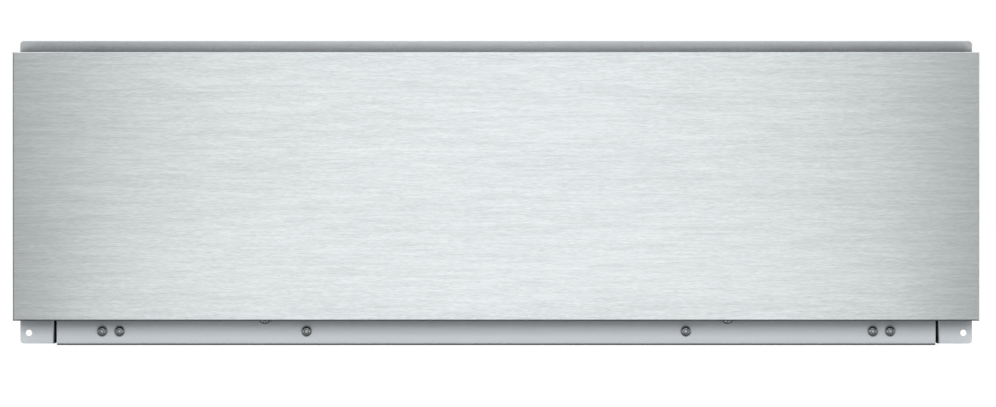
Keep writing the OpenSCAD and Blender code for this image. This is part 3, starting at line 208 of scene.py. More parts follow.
def makeEdges():
    g, given = newGroup("rubbedEdges", {"Radius": 0.0006, "Amount": 0.6},
        {"Mask": "value", "Normal": "vector"})
    rounded = addNode(g, "ShaderNodeBevel", {"Radius": given["Radius"]},
        samples=edgeShape["samples"]).outputs[0]
    flat = addNode(g, "ShaderNodeNewGeometry").outputs["Normal"]
    turn = mathNode(g, "SUBTRACT", 1, vectorNode(g, "DOT_PRODUCT", rounded, flat))
    band = mathNode(g, "MULTIPLY", turn, edgeShape["gain"], clamp=True)
    patches = noiseNode(g, objectPlace(g), edgeShape["patchScale"], detail=4)
    broken = rangeNode(g, patches, *edgeShape["patches"])
    worn = mathNode(g, "MULTIPLY", band, broken)
    mask = mathNode(g, "MULTIPLY", worn, given["Amount"], clamp=True)
    return closeGroup(g, {"Mask": mask, "Normal": rounded})


# Thin dust, heavier on faces that look up; each row of four maps a range to a range
dustLook = {
    "colour": (0.55, 0.53, 0.5), "dulling": 0.35, "metalLeft": 0.3, "facing": (0.1, 0.9, 0.15, 1),
    "cloudScale": 9, "clouds": (0.42, 0.7, 0.1, 1), "speckScale": 900, "specks": (0.55, 0.75, 0.35, 1),
}


def makeDust():
    g, given = newGroup("settledDust", {"Amount": 0.2}, {"Mask": "value"})
    flat = addNode(g, "ShaderNodeNewGeometry").outputs["Normal"]
    up = rangeNode(g, axesOf(g, flat)[2], *dustLook["facing"])
    place = objectPlace(g)
    clouds = rangeNode(g, noiseNode(g, place, dustLook["cloudScale"], detail=5), *dustLook["clouds"])
    specks = rangeNode(g, noiseNode(g, place, dustLook["speckScale"], detail=1), *dustLook["specks"])
    cover = mathNode(g, "MULTIPLY", up, clouds)
    strength = mathNode(g, "MULTIPLY", specks, given["Amount"])
    return closeGroup(g, {"Mask": mathNode(g, "MULTIPLY", cover, strength, clamp=True)})


# Painted shade, darkening where one sheet stands close to another: From and To are how much of the room is
# hidden there.
# None is painted below the height that its last input gives, where the floor would count as a neighbour.
tuckedShape = {"samples": 12, "fade": 0.004}


def makeTucked():
    g, given = newGroup("paintedCornerShade", {"Reach": 0.03, "From": 0.3, "To": 0.5, "Amount": 0.5, "Unshaded": 0.006},
        {"Mask": "value"})
    near = addNode(g, "ShaderNodeAmbientOcclusion", {"Distance": given["Reach"]},
        samples=tuckedShape["samples"])
    hidden = mathNode(g, "SUBTRACT", 1, near.outputs["AO"])
    thick = rangeNode(g, hidden, given["From"], given["To"], 0, 1)
    height = axesOf(g, objectPlace(g))[2]
    raised = mathNode(g, "SUBTRACT", height, given["Unshaded"])
    kept = rangeNode(g, raised, 0, tuckedShape["fade"], 0, 1)
    mask = mathNode(g, "MULTIPLY", thick, given["Amount"])
    return closeGroup(g, {"Mask": mathNode(g, "MULTIPLY", mask, kept)})


# Slow change of tone over a surface, as handling and rolling leave it
def makeClouds():
    g, given = newGroup("slowClouds", {"Scale": 6.0, "Contrast": 0.6}, {"Tone": "value"})
    cloud = noiseNode(g, objectPlace(g), given["Scale"], detail=4, distortion=0.6)
    off = mathNode(g, "SUBTRACT", cloud, 0.5)
    spread = mathNode(g, "MULTIPLY", off, given["Contrast"])
    return closeGroup(g, {"Tone": mathNode(g, "ADD", spread, 0.5, clamp=True)})


# Crystal patches of a zinc coat
crystalShape = {"warpScale": 160, "warp": 0.006}


def makeSpangle():
    g, given = newGroup("zincCrystals", {"Scale": 90.0}, {"Tone": "value"})
    place = objectPlace(g)
    warp = addNode(g, "ShaderNodeTexNoise", {"Vector": place, "Scale": crystalShape["warpScale"]})
    step = vectorNode(g, "SCALE", warp.outputs["Color"], crystalShape["warp"])
    moved = vectorNode(g, "ADD", place, step)
    cells = addNode(g, "ShaderNodeTexVoronoi", {"Vector": moved, "Scale": given["Scale"]})
    parts = addNode(g, "ShaderNodeSeparateColor", {0: cells.outputs["Color"]})
    return closeGroup(g, {"Tone": parts.outputs[0]})


# Spark-eroded mould texture, or the skin of rubber
def makePores():
    g, given = newGroup("mouldedSkin", {"Scale": 1600.0}, {"Height": "value", "Tone": "value"})
    place = objectPlace(g)
    fine = noiseNode(g, place, given["Scale"], detail=3)
    return closeGroup(g, {"Height": fine, "Tone": noiseNode(g, place, 24, detail=3)})


# Matted glass fibres: strands that run every way, in loose tufts
fibreShape = {
    "ways": ((1, 0.12, 0.5), (0.15, 1, 0.6), (0.6, 0.5, 0.12)), "curl": 1.6,
    "tuftScale": 34, "tuftShare": 0.4,
}


def makeFibres():
    g, given = newGroup("mattedFibres", {"Scale": 220.0}, {"Height": "value", "Tone": "value"})
    place = objectPlace(g)
    strands = []
    for stretch in fibreShape["ways"]:
        step = vectorNode(g, "MULTIPLY", place, stretch)
        strands.append(noiseNode(g, step, given["Scale"], detail=3, distortion=fibreShape["curl"]))
    pair = mathNode(g, "MAXIMUM", strands[0], strands[1])
    peak = mathNode(g, "MAXIMUM", pair, strands[2])
    tone = twoTones(g, peak, noiseNode(g, place, fibreShape["tuftScale"]), fibreShape["tuftShare"])
    return closeGroup(g, {"Height": peak, "Tone": tone})


surfaceGrain = makeGrain()
rubbedEdges = makeEdges()
settledDust = makeDust()
slowClouds = makeClouds()
paintedCornerShade = makeTucked()
zincCrystals = makeSpangle()
mouldedSkin = makePores()
mattedFibres = makeFibres()
print("shader groups made")


def useGroup(tree, group, **values):
    made = addNode(tree, "ShaderNodeGroup", node_tree=group)
    setInputs(tree, made, {key.capitalize(): value for key, value in values.items()})
    return made.outputs


def startMaterial(name):
    made = bpy.data.materials.new(name)
    made.use_nodes = True
    tree = made.node_tree
    return made, tree, tree.nodes["Principled BSDF"]


def bumpNode(tree, height, distance, strength, normal=None):
    inputs = {"Height": height, "Distance": distance, "Strength": strength}
    if normal is not None:
        inputs["Normal"] = normal
    return addNode(tree, "ShaderNodeBump", inputs).outputs[0]


surfaceDefaults = {"edge": 0.0005, "wear": 0.5, "dust": 0.15, "tucked": ()}
metalDefaults = dict(surfaceDefaults, contrast=0.5, cloud=0.5, cloudScale=5.0, cloudShare=0.4,
    roughSpread=0.06, metal=1, grainTurn=0.25, depth=0.00002, bump=0.3)
mouldedDefaults = dict(surfaceDefaults, pores=1600.0, toneRange=(0.3, 0.7), roughSpread=0.05,
    depth=0.00004, bump=0.4, shader={})


def hardSurface(tree, shader, look, colour, rough, height):
    # rubbed edges, dust, painted shade near other sheets and a bump over a base colour and roughness; gives
    # the dust's mask
    edges = useGroup(tree, rubbedEdges, radius=look["edge"], amount=look["wear"])
    dust = useGroup(tree, settledDust, amount=look["dust"])["Mask"]
    colour = colourMix(tree, edges["Mask"], colour, look.get("rubbed", look["light"]))
    colour = colourMix(tree, dust, colour, dustLook["colour"])
    # painted shade: each corner entry darkens the colour where other sheets hide the room
    for corner in look["tucked"]:
        paintedShade = useGroup(tree, paintedCornerShade, **corner)
        colour = colourMix(tree, paintedShade["Mask"], colour, look["paintedShade"])
    dull = mathNode(tree, "MULTIPLY", dust, dustLook["dulling"])
    setInputs(tree, shader, {
        "Base Color": colour,
        "Roughness": mathNode(tree, "ADD", rough, dull, clamp=True),
        "Normal": bumpNode(tree, height, look["depth"], look["bump"], edges["Normal"]),
    })
    return dust


def metalFinish(name, look):
    # a metal surface with grain, slow clouds and optional zinc crystals
    look = {**metalDefaults, **look}
    made, tree, shader = startMaterial(name)
    grain = useGroup(tree, surfaceGrain, streaks=look["streaks"], contrast=look["contrast"])
    clouds = useGroup(tree, slowClouds, scale=look["cloudScale"], contrast=look["cloud"])
    tone = twoTones(tree, grain["Tone"], clouds["Tone"], look["cloudShare"])
    if "crystals" in look:
        cells = useGroup(tree, zincCrystals, scale=look["crystals"])
        tone = twoTones(tree, tone, cells["Tone"], look["crystalShare"])
    colour = colourMix(tree, tone, look["dark"], look["light"])
    spread = look["roughSpread"]
    rough = rangeNode(tree, tone, 0, 1, look["rough"] + spread, look["rough"] - spread)
    dust = hardSurface(tree, shader, look, colour, rough, grain["Height"])
    metal = rangeNode(tree, dust, 0, 1, look["metal"], look["metal"] * dustLook["metalLeft"])
    setInputs(tree, shader, {"Metallic": metal})
    if "anisotropy" in look:
        along = addNode(tree, "ShaderNodeTangent", direction_type="RADIAL", axis="Z")
        setInputs(tree, shader, {"Anisotropic": look["anisotropy"],
            "Anisotropic Rotation": look["grainTurn"], "Tangent": along.outputs[0]})
    return made


def mouldedFinish(name, look):
    # plastic, rubber or ceramic with a moulded skin
    look = {**mouldedDefaults, **look}
    made, tree, shader = startMaterial(name)
    skin = useGroup(tree, mouldedSkin, scale=look["pores"])
    colour = colourMix(tree, skin["Tone"], look["dark"], look["light"])
    spread = look["roughSpread"]
    ends = (look["rough"] + spread, look["rough"] - spread)
    rough = rangeNode(tree, skin["Tone"], *look["toneRange"], *ends)
    hardSurface(tree, shader, look, colour, rough, skin["Height"])
    setInputs(tree, shader, look["shader"])
    return made


def turnedFinish(name, look, centre):
    # turned metal: its grain runs round an axis along y
    look = {**metalDefaults, **look}
    made, tree, shader = startMaterial(name)
    parts = axesOf(tree, vectorNode(tree, "SUBTRACT", objectPlace(tree), centre))
    squares = [mathNode(tree, "POWER", mathNode(tree, "ABSOLUTE", parts[k]), 2) for k in (0, 2)]
    radius = mathNode(tree, "SQRT", mathNode(tree, "ADD", *squares))
    rings = addNode(tree, "ShaderNodeCombineXYZ", {
        0: mathNode(tree, "MULTIPLY", radius, look["ringScale"]),
        1: mathNode(tree, "MULTIPLY", parts[1], look["ringScale"]),
    }).outputs[0]
    streak = noiseNode(tree, rings, 1, detail=3)
    colour = colourMix(tree, streak, look["dark"], look["light"])
    spread = look["roughSpread"]
    rough = rangeNode(tree, streak, 0.2, 0.8, look["rough"] + spread, look["rough"] - spread)
    hardSurface(tree, shader, look, colour, rough, streak)
    setInputs(tree, shader, {"Metallic": 1})
    return made


def woolFinish(name, look):
    made, tree, shader = startMaterial(name)
    fibres = useGroup(tree, mattedFibres, scale=look["fibres"])
    tufts = useGroup(tree, slowClouds, scale=look["tufts"], contrast=look["tuftContrast"])
    tone = twoTones(tree, fibres["Tone"], tufts["Tone"], look["tuftShare"])
    tone = rangeNode(tree, tone, *look["toneRange"], 0, 1)
    setInputs(tree, shader, {
        "Base Color": colourMix(tree, tone, look["dark"], look["light"]),
        "Normal": bumpNode(tree, fibres["Height"], look["depth"], look["bump"]), **look["shader"],
    })
    return made


def dress(material, *names):
    for name in names:
        slots = nodes[name].data.materials
        slots.clear()
        slots.append(material)


def dressFaces(name, finishes, slotOf):
    dress(finishes[0], name)
    mesh = nodes[name].data
    for finish in finishes[1:]:
        mesh.materials.append(finish)
    for face in mesh.polygons:
        face.material_index = slotOf(face)


# The drawer's front: thin sheet, brushed from side to side
frontLook = {
    "dark": (0.60, 0.635, 0.645), "light": (0.92, 0.965, 0.975), "rubbed": (0.9, 0.93, 0.94),
    "rough": 0.24, "roughSpread": 0.05, "streaks": (205, 205, 3900), "contrast": 2.45, "cloud": 0.12,
    "cloudScale": 2.5, "anisotropy": 0.6, "edge": 0.0003, "wear": 0.0, "dust": 0.02, "depth": 0.000012,
    "bump": 0.25,
}
# The front's folds and inside: a darker copy of its steel, as painted shade
shadedReturnLook = {
    "dark": (0.13, 0.14, 0.145), "light": (0.26, 0.275, 0.285), "rough": 0.5, "streaks": (55, 55, 900),
    "contrast": 0.8, "cloud": 0.4, "edge": 0.0002, "wear": 0.15, "dust": 0.04,
}
# its left side edge: a darker copy, as painted shade; its right side edge: a lighter, less metallic copy, as
# a painted highlight
shadedEdgeLook = dict(frontLook, dark=(0.22, 0.235, 0.24), light=(0.44, 0.46, 0.47), rough=0.4)
highlightEdgeLook = dict(frontLook, dark=(0.78, 0.82, 0.84), light=(0.92, 0.95, 0.97), rough=0.5, metal=0.3)
frontFinishes = (metalFinish("brushedFront", frontLook), metalFinish("shadedFrontReturns", shadedReturnLook),
    metalFinish("shadedLeftEdge", shadedEdgeLook), metalFinish("highlightedRightEdge", highlightEdgeLook))
frontRule = {"forward": 0.35, "down": 0.1, "aside": 0.2, "depth": 0.9 * mm}  # of a normal, and of a place


def frontSlot(face):
    # only the front's face is brushed: its folds and its inside are dull and carry painted shade, a darker
    # copy of the steel; its left side edge carries painted shade and its right side edge a painted highlight
    normal = face.normal
    near = face.center.y < frontY + frontRule["depth"]
    if not near or normal.y > -frontRule["forward"] or normal.z < -frontRule["down"]:
        return 1
    if normal.x < -frontRule["aside"]:
        return 2
    return 3 if normal.x > frontRule["aside"] else 0


dressFaces("front_panel", frontFinishes, frontSlot)

# The housing: zinc-coated sheet, smoother at the flanges and the strip that face the room
housingLook = {
    "dark": (0.60, 0.635, 0.655), "light": (0.80, 0.84, 0.865), "rubbed": (0.82, 0.83, 0.84), "rough": 0.42,
    "streaks": (60, 22, 420), "contrast": 0.7, "cloud": 0.5, "cloudScale": 4.0, "crystals": 260.0,
    "crystalShare": 0.16, "edge": 0.0005, "wear": 0.6, "dust": 0.12,
}
# the strip takes painted shade, in a near-black colour, where the front and the floor stand close to it
stripLook = dict(housingLook, dark=(0.712, 0.755, 0.79), light=(0.828, 0.868, 0.905), rough=0.48,
    streaks=(40, 40, 600), cloud=0.1, crystalShare=0.02, metal=0.3, paintedShade=(0.012, 0.014, 0.015), tucked=(
        # painted shade under the front, and a painted dark line where the lower fold turns under
        {"reach": 0.012, "from": 0.30, "to": 0.48, "amount": 0.38},
        {"reach": 0.012, "from": 0.54, "to": 0.64, "amount": 0.98, "unshaded": -1.0}))
# painted shade on the flange, darker towards the front's top edge
flangeLook = dict(stripLook, dark=(0.62, 0.65, 0.67), light=(0.76, 0.80, 0.82), rough=0.3, metal=0.85,
    tucked=({"reach": 0.03, "from": 0.31, "to": 0.42, "amount": 0.84},))
housingSteel = metalFinish("coatedSheet", housingLook)
stripSteel = metalFinish("frontStrip", stripLook)
flangeSteel = metalFinish("rolledFlange", flangeLook)
flangeRule = {"forward": 0.9, "behind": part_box("top_cover")[0].y + 1 * mm}
dress(housingSteel, "rear_panel", "sill_stiffener", "corner_brackets", "terminal_cover")
dress(stripSteel, "base_pan")


def flangeSlot(face):
    # the faces that look forward in the flange's own sheet
    return 1 if face.normal.y < -flangeRule["forward"] and face.center.y < flangeRule["behind"] else 0


dressFaces("left_side_panel", (housingSteel, stripSteel), flangeSlot)
dressFaces("right_side_panel", (housingSteel, stripSteel), flangeSlot)
dressFaces("top_cover", (housingSteel, flangeSteel), flangeSlot)

# The heated cavity: aluminised sheet, a little heat-tinted
cavityLook = {
    "dark": (0.50, 0.50, 0.49), "light": (0.74, 0.735, 0.72), "rubbed": (0.8, 0.8, 0.79), "rough": 0.42,
    "streaks": (30, 260, 260), "contrast": 0.8, "cloud": 0.9, "cloudScale": 3.0, "edge": 0.0005, "wear": 0.5,
    "dust": 0.06,
}
dress(metalFinish("aluminisedSheet", cavityLook), "header_plate", "left_cavity_wall", "right_cavity_wall",
    "cavity_ceiling", "cavity_rear_wall", "front_backplate")
trayLook = dict(cavityLook, rough=0.24, light=(0.85, 0.85, 0.84), dark=(0.62, 0.62, 0.61))
dress(metalFinish("reflectorSheet", trayLook), "reflector_tray")

# The tub: satin stainless sheet, drawn front to back
tubLook = {
    "dark": (0.56, 0.575, 0.585), "light": (0.82, 0.84, 0.85), "rough": 0.31, "streaks": (900, 60, 900),
    "contrast": 0.9, "cloud": 0.35, "cloudScale": 3.5, "edge": 0.0005, "wear": 0.3, "dust": 0.03,
}
dress(metalFinish("tubSheet", tubLook), "drawer_tub")

# The slides: bright zinc plate, and their polished balls
railLook = {
    "dark": (0.50, 0.53, 0.58), "light": (0.76, 0.78, 0.80), "rubbed": (0.88, 0.88, 0.88), "rough": 0.28,
    "streaks": (900, 14, 900), "contrast": 1.2, "cloud": 0.7, "cloudScale": 14.0, "edge": 0.0004, "wear": 0.8,
    "dust": 0.05,
}
ballLook = {
    "dark": (0.66, 0.66, 0.65), "light": (0.86, 0.86, 0.87), "rough": 0.12, "roughSpread": 0.05,
    "streaks": (300, 300, 300), "contrast": 0.8, "cloud": 0.8, "cloudScale": 60.0, "edge": 0.0002,
    "wear": 0.3, "dust": 0.02,
}
railSteel = metalFinish("platedRail", railLook)
ballSteel = metalFinish("polishedBalls", ballLook)
dress(railSteel, "strike_plates", "thermostat_shaft")
for side in ("left", "right"):
    dress(railSteel, side + "_outer_rail", side + "_middle_rail", side + "_inner_rail")
    dress(ballSteel, side + "_outer_cage", side + "_inner_cage")

# Screws, clips and other small plated pieces
screwLook = {
    "dark": (0.52, 0.53, 0.54), "light": (0.86, 0.87, 0.88), "rubbed": (0.93, 0.93, 0.93), "rough": 0.2,
    "roughSpread": 0.08, "streaks": (700, 700, 700), "contrast": 0.9, "cloud": 0.9, "cloudScale": 120.0,
    "edge": 0.0003, "wear": 0.9, "dust": 0.04,
}
dress(metalFinish("platedScrews", screwLook), "housing_screws", "rear_screws", "rail_screws", "drawer_screws",
    "element_clips")
tubeLook = dict(screwLook, dark=(0.5, 0.48, 0.43), light=(0.78, 0.76, 0.7))
dress(metalFinish("nickelTube", tubeLook), "temperature_probe")

# The rack: chromed wire
rackLook = {
    "dark": (0.70, 0.71, 0.72), "light": (0.90, 0.91, 0.92), "rough": 0.09, "roughSpread": 0.04,
    "streaks": (140, 140, 140), "contrast": 0.6, "cloud": 0.5, "cloudScale": 30.0, "edge": 0.0002,
    "wear": 0.2, "dust": 0.03,
}
dress(metalFinish("chromedWire", rackLook), "wire_rack", "rack_legs")

# The heating element: a sheath dulled and tinted by heat
elementLook = {
    "dark": (0.085, 0.07, 0.065), "light": (0.26, 0.20, 0.16), "rubbed": (0.4, 0.33, 0.28), "rough": 0.5,
    "roughSpread": 0.1, "streaks": (500, 30, 500), "contrast": 1.0, "cloud": 1.6, "cloudScale": 22.0,
    "edge": 0.0003, "wear": 0.3, "dust": 0.03,
}
dress(metalFinish("heatedSheath", elementLook), "heating_element")

# Moulded pieces
blackLook = {
    "dark": (0.018, 0.018, 0.02), "light": (0.04, 0.04, 0.043), "rubbed": (0.11, 0.11, 0.115), "rough": 0.52,
    "pores": 2200.0, "edge": 0.0004, "wear": 0.25, "dust": 0.06,
}
blackPlastic = mouldedFinish("blackMoulding", blackLook)
dress(blackPlastic, "control_fascia", "thermostat", "thermal_cutout", "cable_gland", "latch_housings",
    "left_latch_plunger", "right_latch_plunger")
ceramicLook = {
    "dark": (0.66, 0.62, 0.53), "light": (0.84, 0.81, 0.73), "rubbed": (0.9, 0.88, 0.82), "rough": 0.55,
    "pores": 1100.0, "edge": 0.0005, "wear": 0.2, "dust": 0.08,
}
dress(mouldedFinish("bareCeramic", ceramicLook), "element_bushings", "terminal_block")
print("metals and mouldings made")

# The temperature knob: turned aluminium
knobLook = {
    "dark": (0.40, 0.41, 0.42), "light": (0.78, 0.79, 0.80), "rubbed": (0.9, 0.9, 0.9), "rough": 0.24,
    "roughSpread": 0.08, "ringScale": 2600.0, "edge": 0.0003, "wear": 0.6, "dust": 0.03, "depth": 0.00001,
    "bump": 0.3,
}
knobLow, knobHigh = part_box("temperature_knob")
knobCentre = (knobLow + knobHigh) / 2
dress(turnedFinish("turnedAluminium", knobLook, tuple(knobCentre)), "temperature_knob")

# The pilot lamp: an amber lens in front of the fascia, its holder behind
lensLook = {
    "dark": (0.62, 0.20, 0.02), "light": (0.95, 0.42, 0.06), "rough": 0.12, "pores": 300.0, "edge": 0.0003,
    "wear": 0.0, "dust": 0.02,
    "shader": {"Transmission Weight": 0.35, "Coat Weight": 0.6, "Coat Roughness": 0.05},
}
lensShape = {"radius": 4.2 * mm, "depth": 3.5 * mm}    # the depth is from the fascia's face
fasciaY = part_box("control_fascia")[0].y
lampCentre = sum(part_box("pilot_lamp"), Vector()) / 2
lampPoints = nodes["pilot_lamp"].data.vertices


def lampSlot(face):
    offsets = [lampPoints[i].co - lampCentre for i in face.vertices]
    outside = max(math.hypot(offset.x, offset.z) for offset in offsets)
    return 0 if outside < lensShape["radius"] and face.center.y < fasciaY + lensShape["depth"] else 1


dressFaces("pilot_lamp", (mouldedFinish("amberLens", lensLook), blackPlastic), lampSlot)


# Helpers for shapes: all points are in millimetres
def boxOf(name):
    return [[c / mm for c in corner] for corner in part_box(name)]


def spansOf(points):
    return [(min(p[k] for p in points), max(p[k] for p in points)) for k in range(3)]


def meshIslands(mesh):
    # each vertex's island and each island's points, joined by the edges and where corners share a place
    root = list(range(len(mesh.vertices)))

    def top(i):
        while root[i] != i:
            root[i] = root[root[i]]
            i = root[i]
        return i
    for edge in mesh.edges:
        a, b = top(edge.vertices[0]), top(edge.vertices[1])
        root[a] = b
    firstAt = {}
    for vertex in mesh.vertices:
        first = firstAt.setdefault(tuple(round(c, 6) for c in vertex.co), vertex.index)
        root[top(vertex.index)] = top(first)
    islandOf = [top(i) for i in range(len(root))]
    points = {}
    for vertex, island in zip(mesh.vertices, islandOf):
        points.setdefault(island, []).append(vertex.co / mm)
    return islandOf, points


# The wires: sleeved in braided glass fibre, one colour for each circuit
sleeveLook = {
    "rough": 0.8, "pores": 2600.0, "edge": 0.0001, "wear": 0.0, "dust": 0.05, "depth": 0.0002, "bump": 0.9,
}
wireLooks = {
    "mains": {"dark": (0.03, 0.06, 0.16), "light": (0.08, 0.16, 0.38)},
    "heater": {"dark": (0.30, 0.28, 0.24), "light": (0.62, 0.58, 0.50)},
    "lamp": {"dark": (0.22, 0.05, 0.03), "light": (0.48, 0.13, 0.09)},
}
wireFinishes = [mouldedFinish(circuit + "Sleeve", {**sleeveLook, **look})
    for circuit, look in wireLooks.items()]
circuitRule = {"lampAbove": 195, "mainsAbove": 140, "mainsBehind": 240}
islandOf, islandPoints = meshIslands(nodes["internal_wiring"].data)
circuitOf = {}
for island, points in islandPoints.items():
    (_, right), (_, rear), (low, _) = spansOf(points)
    if low > circuitRule["lampAbove"] and rear < 0:
        circuitOf[island] = 2
    elif (right > boxOf("terminal_block")[0][0] and rear > circuitRule["mainsBehind"]
            and low > circuitRule["mainsAbove"]):
        circuitOf[island] = 0
    else:
        circuitOf[island] = 1
dressFaces("internal_wiring", wireFinishes, lambda face: circuitOf[islandOf[face.vertices[0]]])
print("wires by circuit:", sorted(circuitOf.values()))


def addPiece(name, shape, material, sharp):
    points, faces = shape
    mesh = bpy.data.meshes.new(name)
    mesh.from_pydata([[c * mm for c in p] for p in points], [], faces)
    work = bmesh.new()
    work.from_mesh(mesh)
    bmesh.ops.remove_doubles(work, verts=work.verts, dist=1e-7)
    bmesh.ops.recalc_face_normals(work, faces=work.faces)
    work.to_mesh(mesh)
    work.free()
    for face in mesh.polygons:
        face.use_smooth = True
    mesh.set_sharp_from_angle(angle=math.radians(sharp))
    mesh.materials.append(material)
    made = bpy.data.objects.new(name, mesh)
    bpy.context.scene.collection.objects.link(made)
    return made


def joinShapes(shapes):
    points, faces = [], []
    for morePoints, moreFaces in shapes:
        faces += [tuple(i + len(points) for i in face) for face in moreFaces]
        points += morePoints
    return points, faces


def sweptRings(rings, closed):
    # quads between rings of points that follow each other, with caps at the ends of an open sweep
    points = [p for ring in rings for p in ring]
    count = len(rings[0])
    faces = []
    for i in range(len(rings) if closed else len(rings) - 1):
        a, b = i * count, (i + 1) % len(rings) * count
        for j in range(count):
            k = (j + 1) % count
            faces.append((a + j, a + k, b + k, b + j))
    if not closed:
        faces.append(tuple(range(count)))
        faces.append(tuple(len(points) - 1 - j for j in range(count)))
    return points, faces


def roundAngles(count):
    return [2 * math.pi * i / count for i in range(count)]


def roundedLoop(halfX, z0, z1, radius, steps):
    # points and outward directions round an upright rectangle with round corners
    loop = []
    corners = ((halfX - radius, z1 - radius, 0), (radius - halfX, z1 - radius, 90),
        (radius - halfX, z0 + radius, 180), (halfX - radius, z0 + radius, 270))
    for x, z, start in corners:
        for i in range(steps + 1):
            angle = math.radians(start + 90 * i / steps)
            out = (math.cos(angle), math.sin(angle))
            loop.append((x + radius * out[0], z + radius * out[1], out))
    return loop


# The door seal: a bulb on a flat foot with a thin lip outside it, pressed against the housing when shut
sealLook = {
    "dark": (0.030, 0.030, 0.032), "light": (0.065, 0.065, 0.068), "rough": 0.6, "pores": 1400.0,
    "edge": 0.0002, "wear": 0.0, "dust": 0.12, "shader": {"Sheen Weight": 0.15},
}
sealShape = {
    "cornerRadius": 9, "cornerSteps": 12, "halfWidth": 3.0, "foot": 0.7, "inner": -2.6, "outer": 2.9,
    "lipRoot": (2.75, 0.8), "lipTip": ((2.95, 0.62), (2.62, 0.66)), "lipEnd": 2.2,  # heights as shares
    "bulb": 2.05, "bulbAt": -0.35, "bulbSteps": 10, "bulbFrom": -8, "bulbTurn": 196, "bulbCurve": 0.6,
}
sealRubber = mouldedFinish("sealRubber", sealLook)
sealLow, sealHigh = boxOf("drawer_seal")


def sealSection(depth):
    # (outward, forward) points round the seal's section
    s = sealShape
    foot = s["foot"]
    section = [(s["inner"], 0), (s["outer"], 0), (s["lipRoot"][0], foot * s["lipRoot"][1])]
    section += [(across, depth * share) for across, share in s["lipTip"]]
    section.append((s["lipEnd"], foot))
    for i in range(s["bulbSteps"] + 1):             # the bulb, flattened by the housing's face
        angle = math.radians(s["bulbFrom"] + s["bulbTurn"] * i / s["bulbSteps"])
        swell = max(0, math.sin(angle)) ** s["bulbCurve"]
        rise = min(depth, foot * 0.5 + (depth - foot * 0.5) * swell)
        section.append((s["bulbAt"] + s["bulb"] * math.cos(angle), rise))
    section.append((s["inner"], foot))
    return section


section = sealSection(sealHigh[1] - sealLow[1])
loop = roundedLoop(sealHigh[0] - sealShape["halfWidth"], sealLow[2] + sealShape["halfWidth"],
    sealHigh[2] - sealShape["halfWidth"], sealShape["cornerRadius"], sealShape["cornerSteps"])
rings = [[(x + out[0] * a, sealLow[1] + b, z + out[1] * a) for a, b in section] for x, z, out in loop]
drawerSeal = addPiece("drawerSeal", sweptRings(rings, True), sealRubber, 50)
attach(drawerSeal, "drawer")
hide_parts("drawer_seal")

# The mat on the tub's floor: ribbed rubber with a plain rim
matLook = {
    "dark": (0.025, 0.026, 0.028), "light": (0.060, 0.062, 0.066), "rubbed": (0.10, 0.10, 0.105),
    "rough": 0.68, "pores": 900.0, "edge": 0.0003, "wear": 0.25, "dust": 0.10, "depth": 0.00008,
}
matShape = {
    "corner": 8.0, "cornerSteps": 8, "margin": 2, "pitch": 5.0, "rib": 2.2, "slope": 0.5, "web": 0.9,
    "rim": 7.0, "chamfer": 0.25, "leastHalf": 0.05, "leastRim": 0.4,
}
matRubber = mouldedFinish("matRubber", matLook)
matLow, matHigh = boxOf("anti_slip_mat")


def matRows():
    # (y, whether the mat has its full thickness there) from the front to the rear
    slope, rib = matShape["slope"], matShape["rib"]
    steps = [math.radians(90 * i / matShape["cornerSteps"]) for i in range(matShape["cornerSteps"] + 1)]
    corner = [matShape["corner"] * (1 - math.cos(angle)) for angle in steps]
    rows = [(matLow[1] + step, True) for step in corner]
    y = matLow[1] + matShape["corner"] + matShape["margin"]
    end = matHigh[1] - matShape["corner"] - matShape["margin"] - rib
    rows.append((y - slope * 2, True))
    while y < end:
        rows += [(y - slope, False), (y, True), (y + rib, True), (y + rib + slope, False)]
        y += matShape["pitch"]
    rows += [(y - slope * 2, False), (y - slope, True)]
    return rows + [(matHigh[1] - step, True) for step in reversed(corner)]


def matRing(y, full):
    # the mat's outline at y, narrower at its round corners
    r = matShape["corner"]
    inside = min(y - matLow[1], matHigh[1] - y)
    half = matHigh[0] if inside >= r else matHigh[0] - r + math.sqrt(max(0, r * r - (r - inside) ** 2))
    half = max(half, matHigh[0] - r + matShape["leastHalf"])
    inner = min(matHigh[0] - matShape["rim"], half - matShape["leastRim"])
    chamfer, slope = matShape["chamfer"], matShape["slope"]
    low, high = matLow[2], matHigh[2]
    top = high if full else low + matShape["web"]
    right = [(half, low), (half, high - chamfer), (half - chamfer, high), (inner, high), (inner - slope, top)]
    return [(x, y, z) for x, z in right] + [(-x, y, z) for x, z in reversed(right)]


antiSlipMat = addPiece("antiSlipMat", sweptRings([matRing(*row) for row in matRows()], False), matRubber, 30)
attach(antiSlipMat, "drawer")
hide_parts("anti_slip_mat")

# The sleeves under the rack: ribbed rubber, turned round the wires that they sit on
footShape = {
    "outer": 4.0, "ribs": 6, "sides": 28, "length": 20.0, "wireHeight": 42.8,
    "end": ((2.24, 0), (3.3, 0), (3.85, 0.3), (4.0, 0.7)),       # (radius, distance from the end)
    "groove": ((0, -1.0), (0.55, -0.6), (0.55, 0.3), (0, 0.7)),  # (depth, place) between two ribs
}


def ribbedSleeve(x, y0):
    outer, length, end = footShape["outer"], footShape["length"], footShape["end"]
    profile = list(end)
    for i in range(1, footShape["ribs"]):
        middle = length / footShape["ribs"] * i
        profile += [(outer - depth, middle + y) for depth, y in footShape["groove"]]
    profile.append((outer, length + footShape["groove"][0][1]))
    profile += [(r, length - y) for r, y in reversed(end[:-1])]
    rings = []
    for angle in roundAngles(footShape["sides"]):
        out = (math.cos(angle), math.sin(angle))
        rings.append([(x + r * out[0], y0 + y, footShape["wireHeight"] + r * out[1]) for r, y in profile])
    return sweptRings(rings, True)


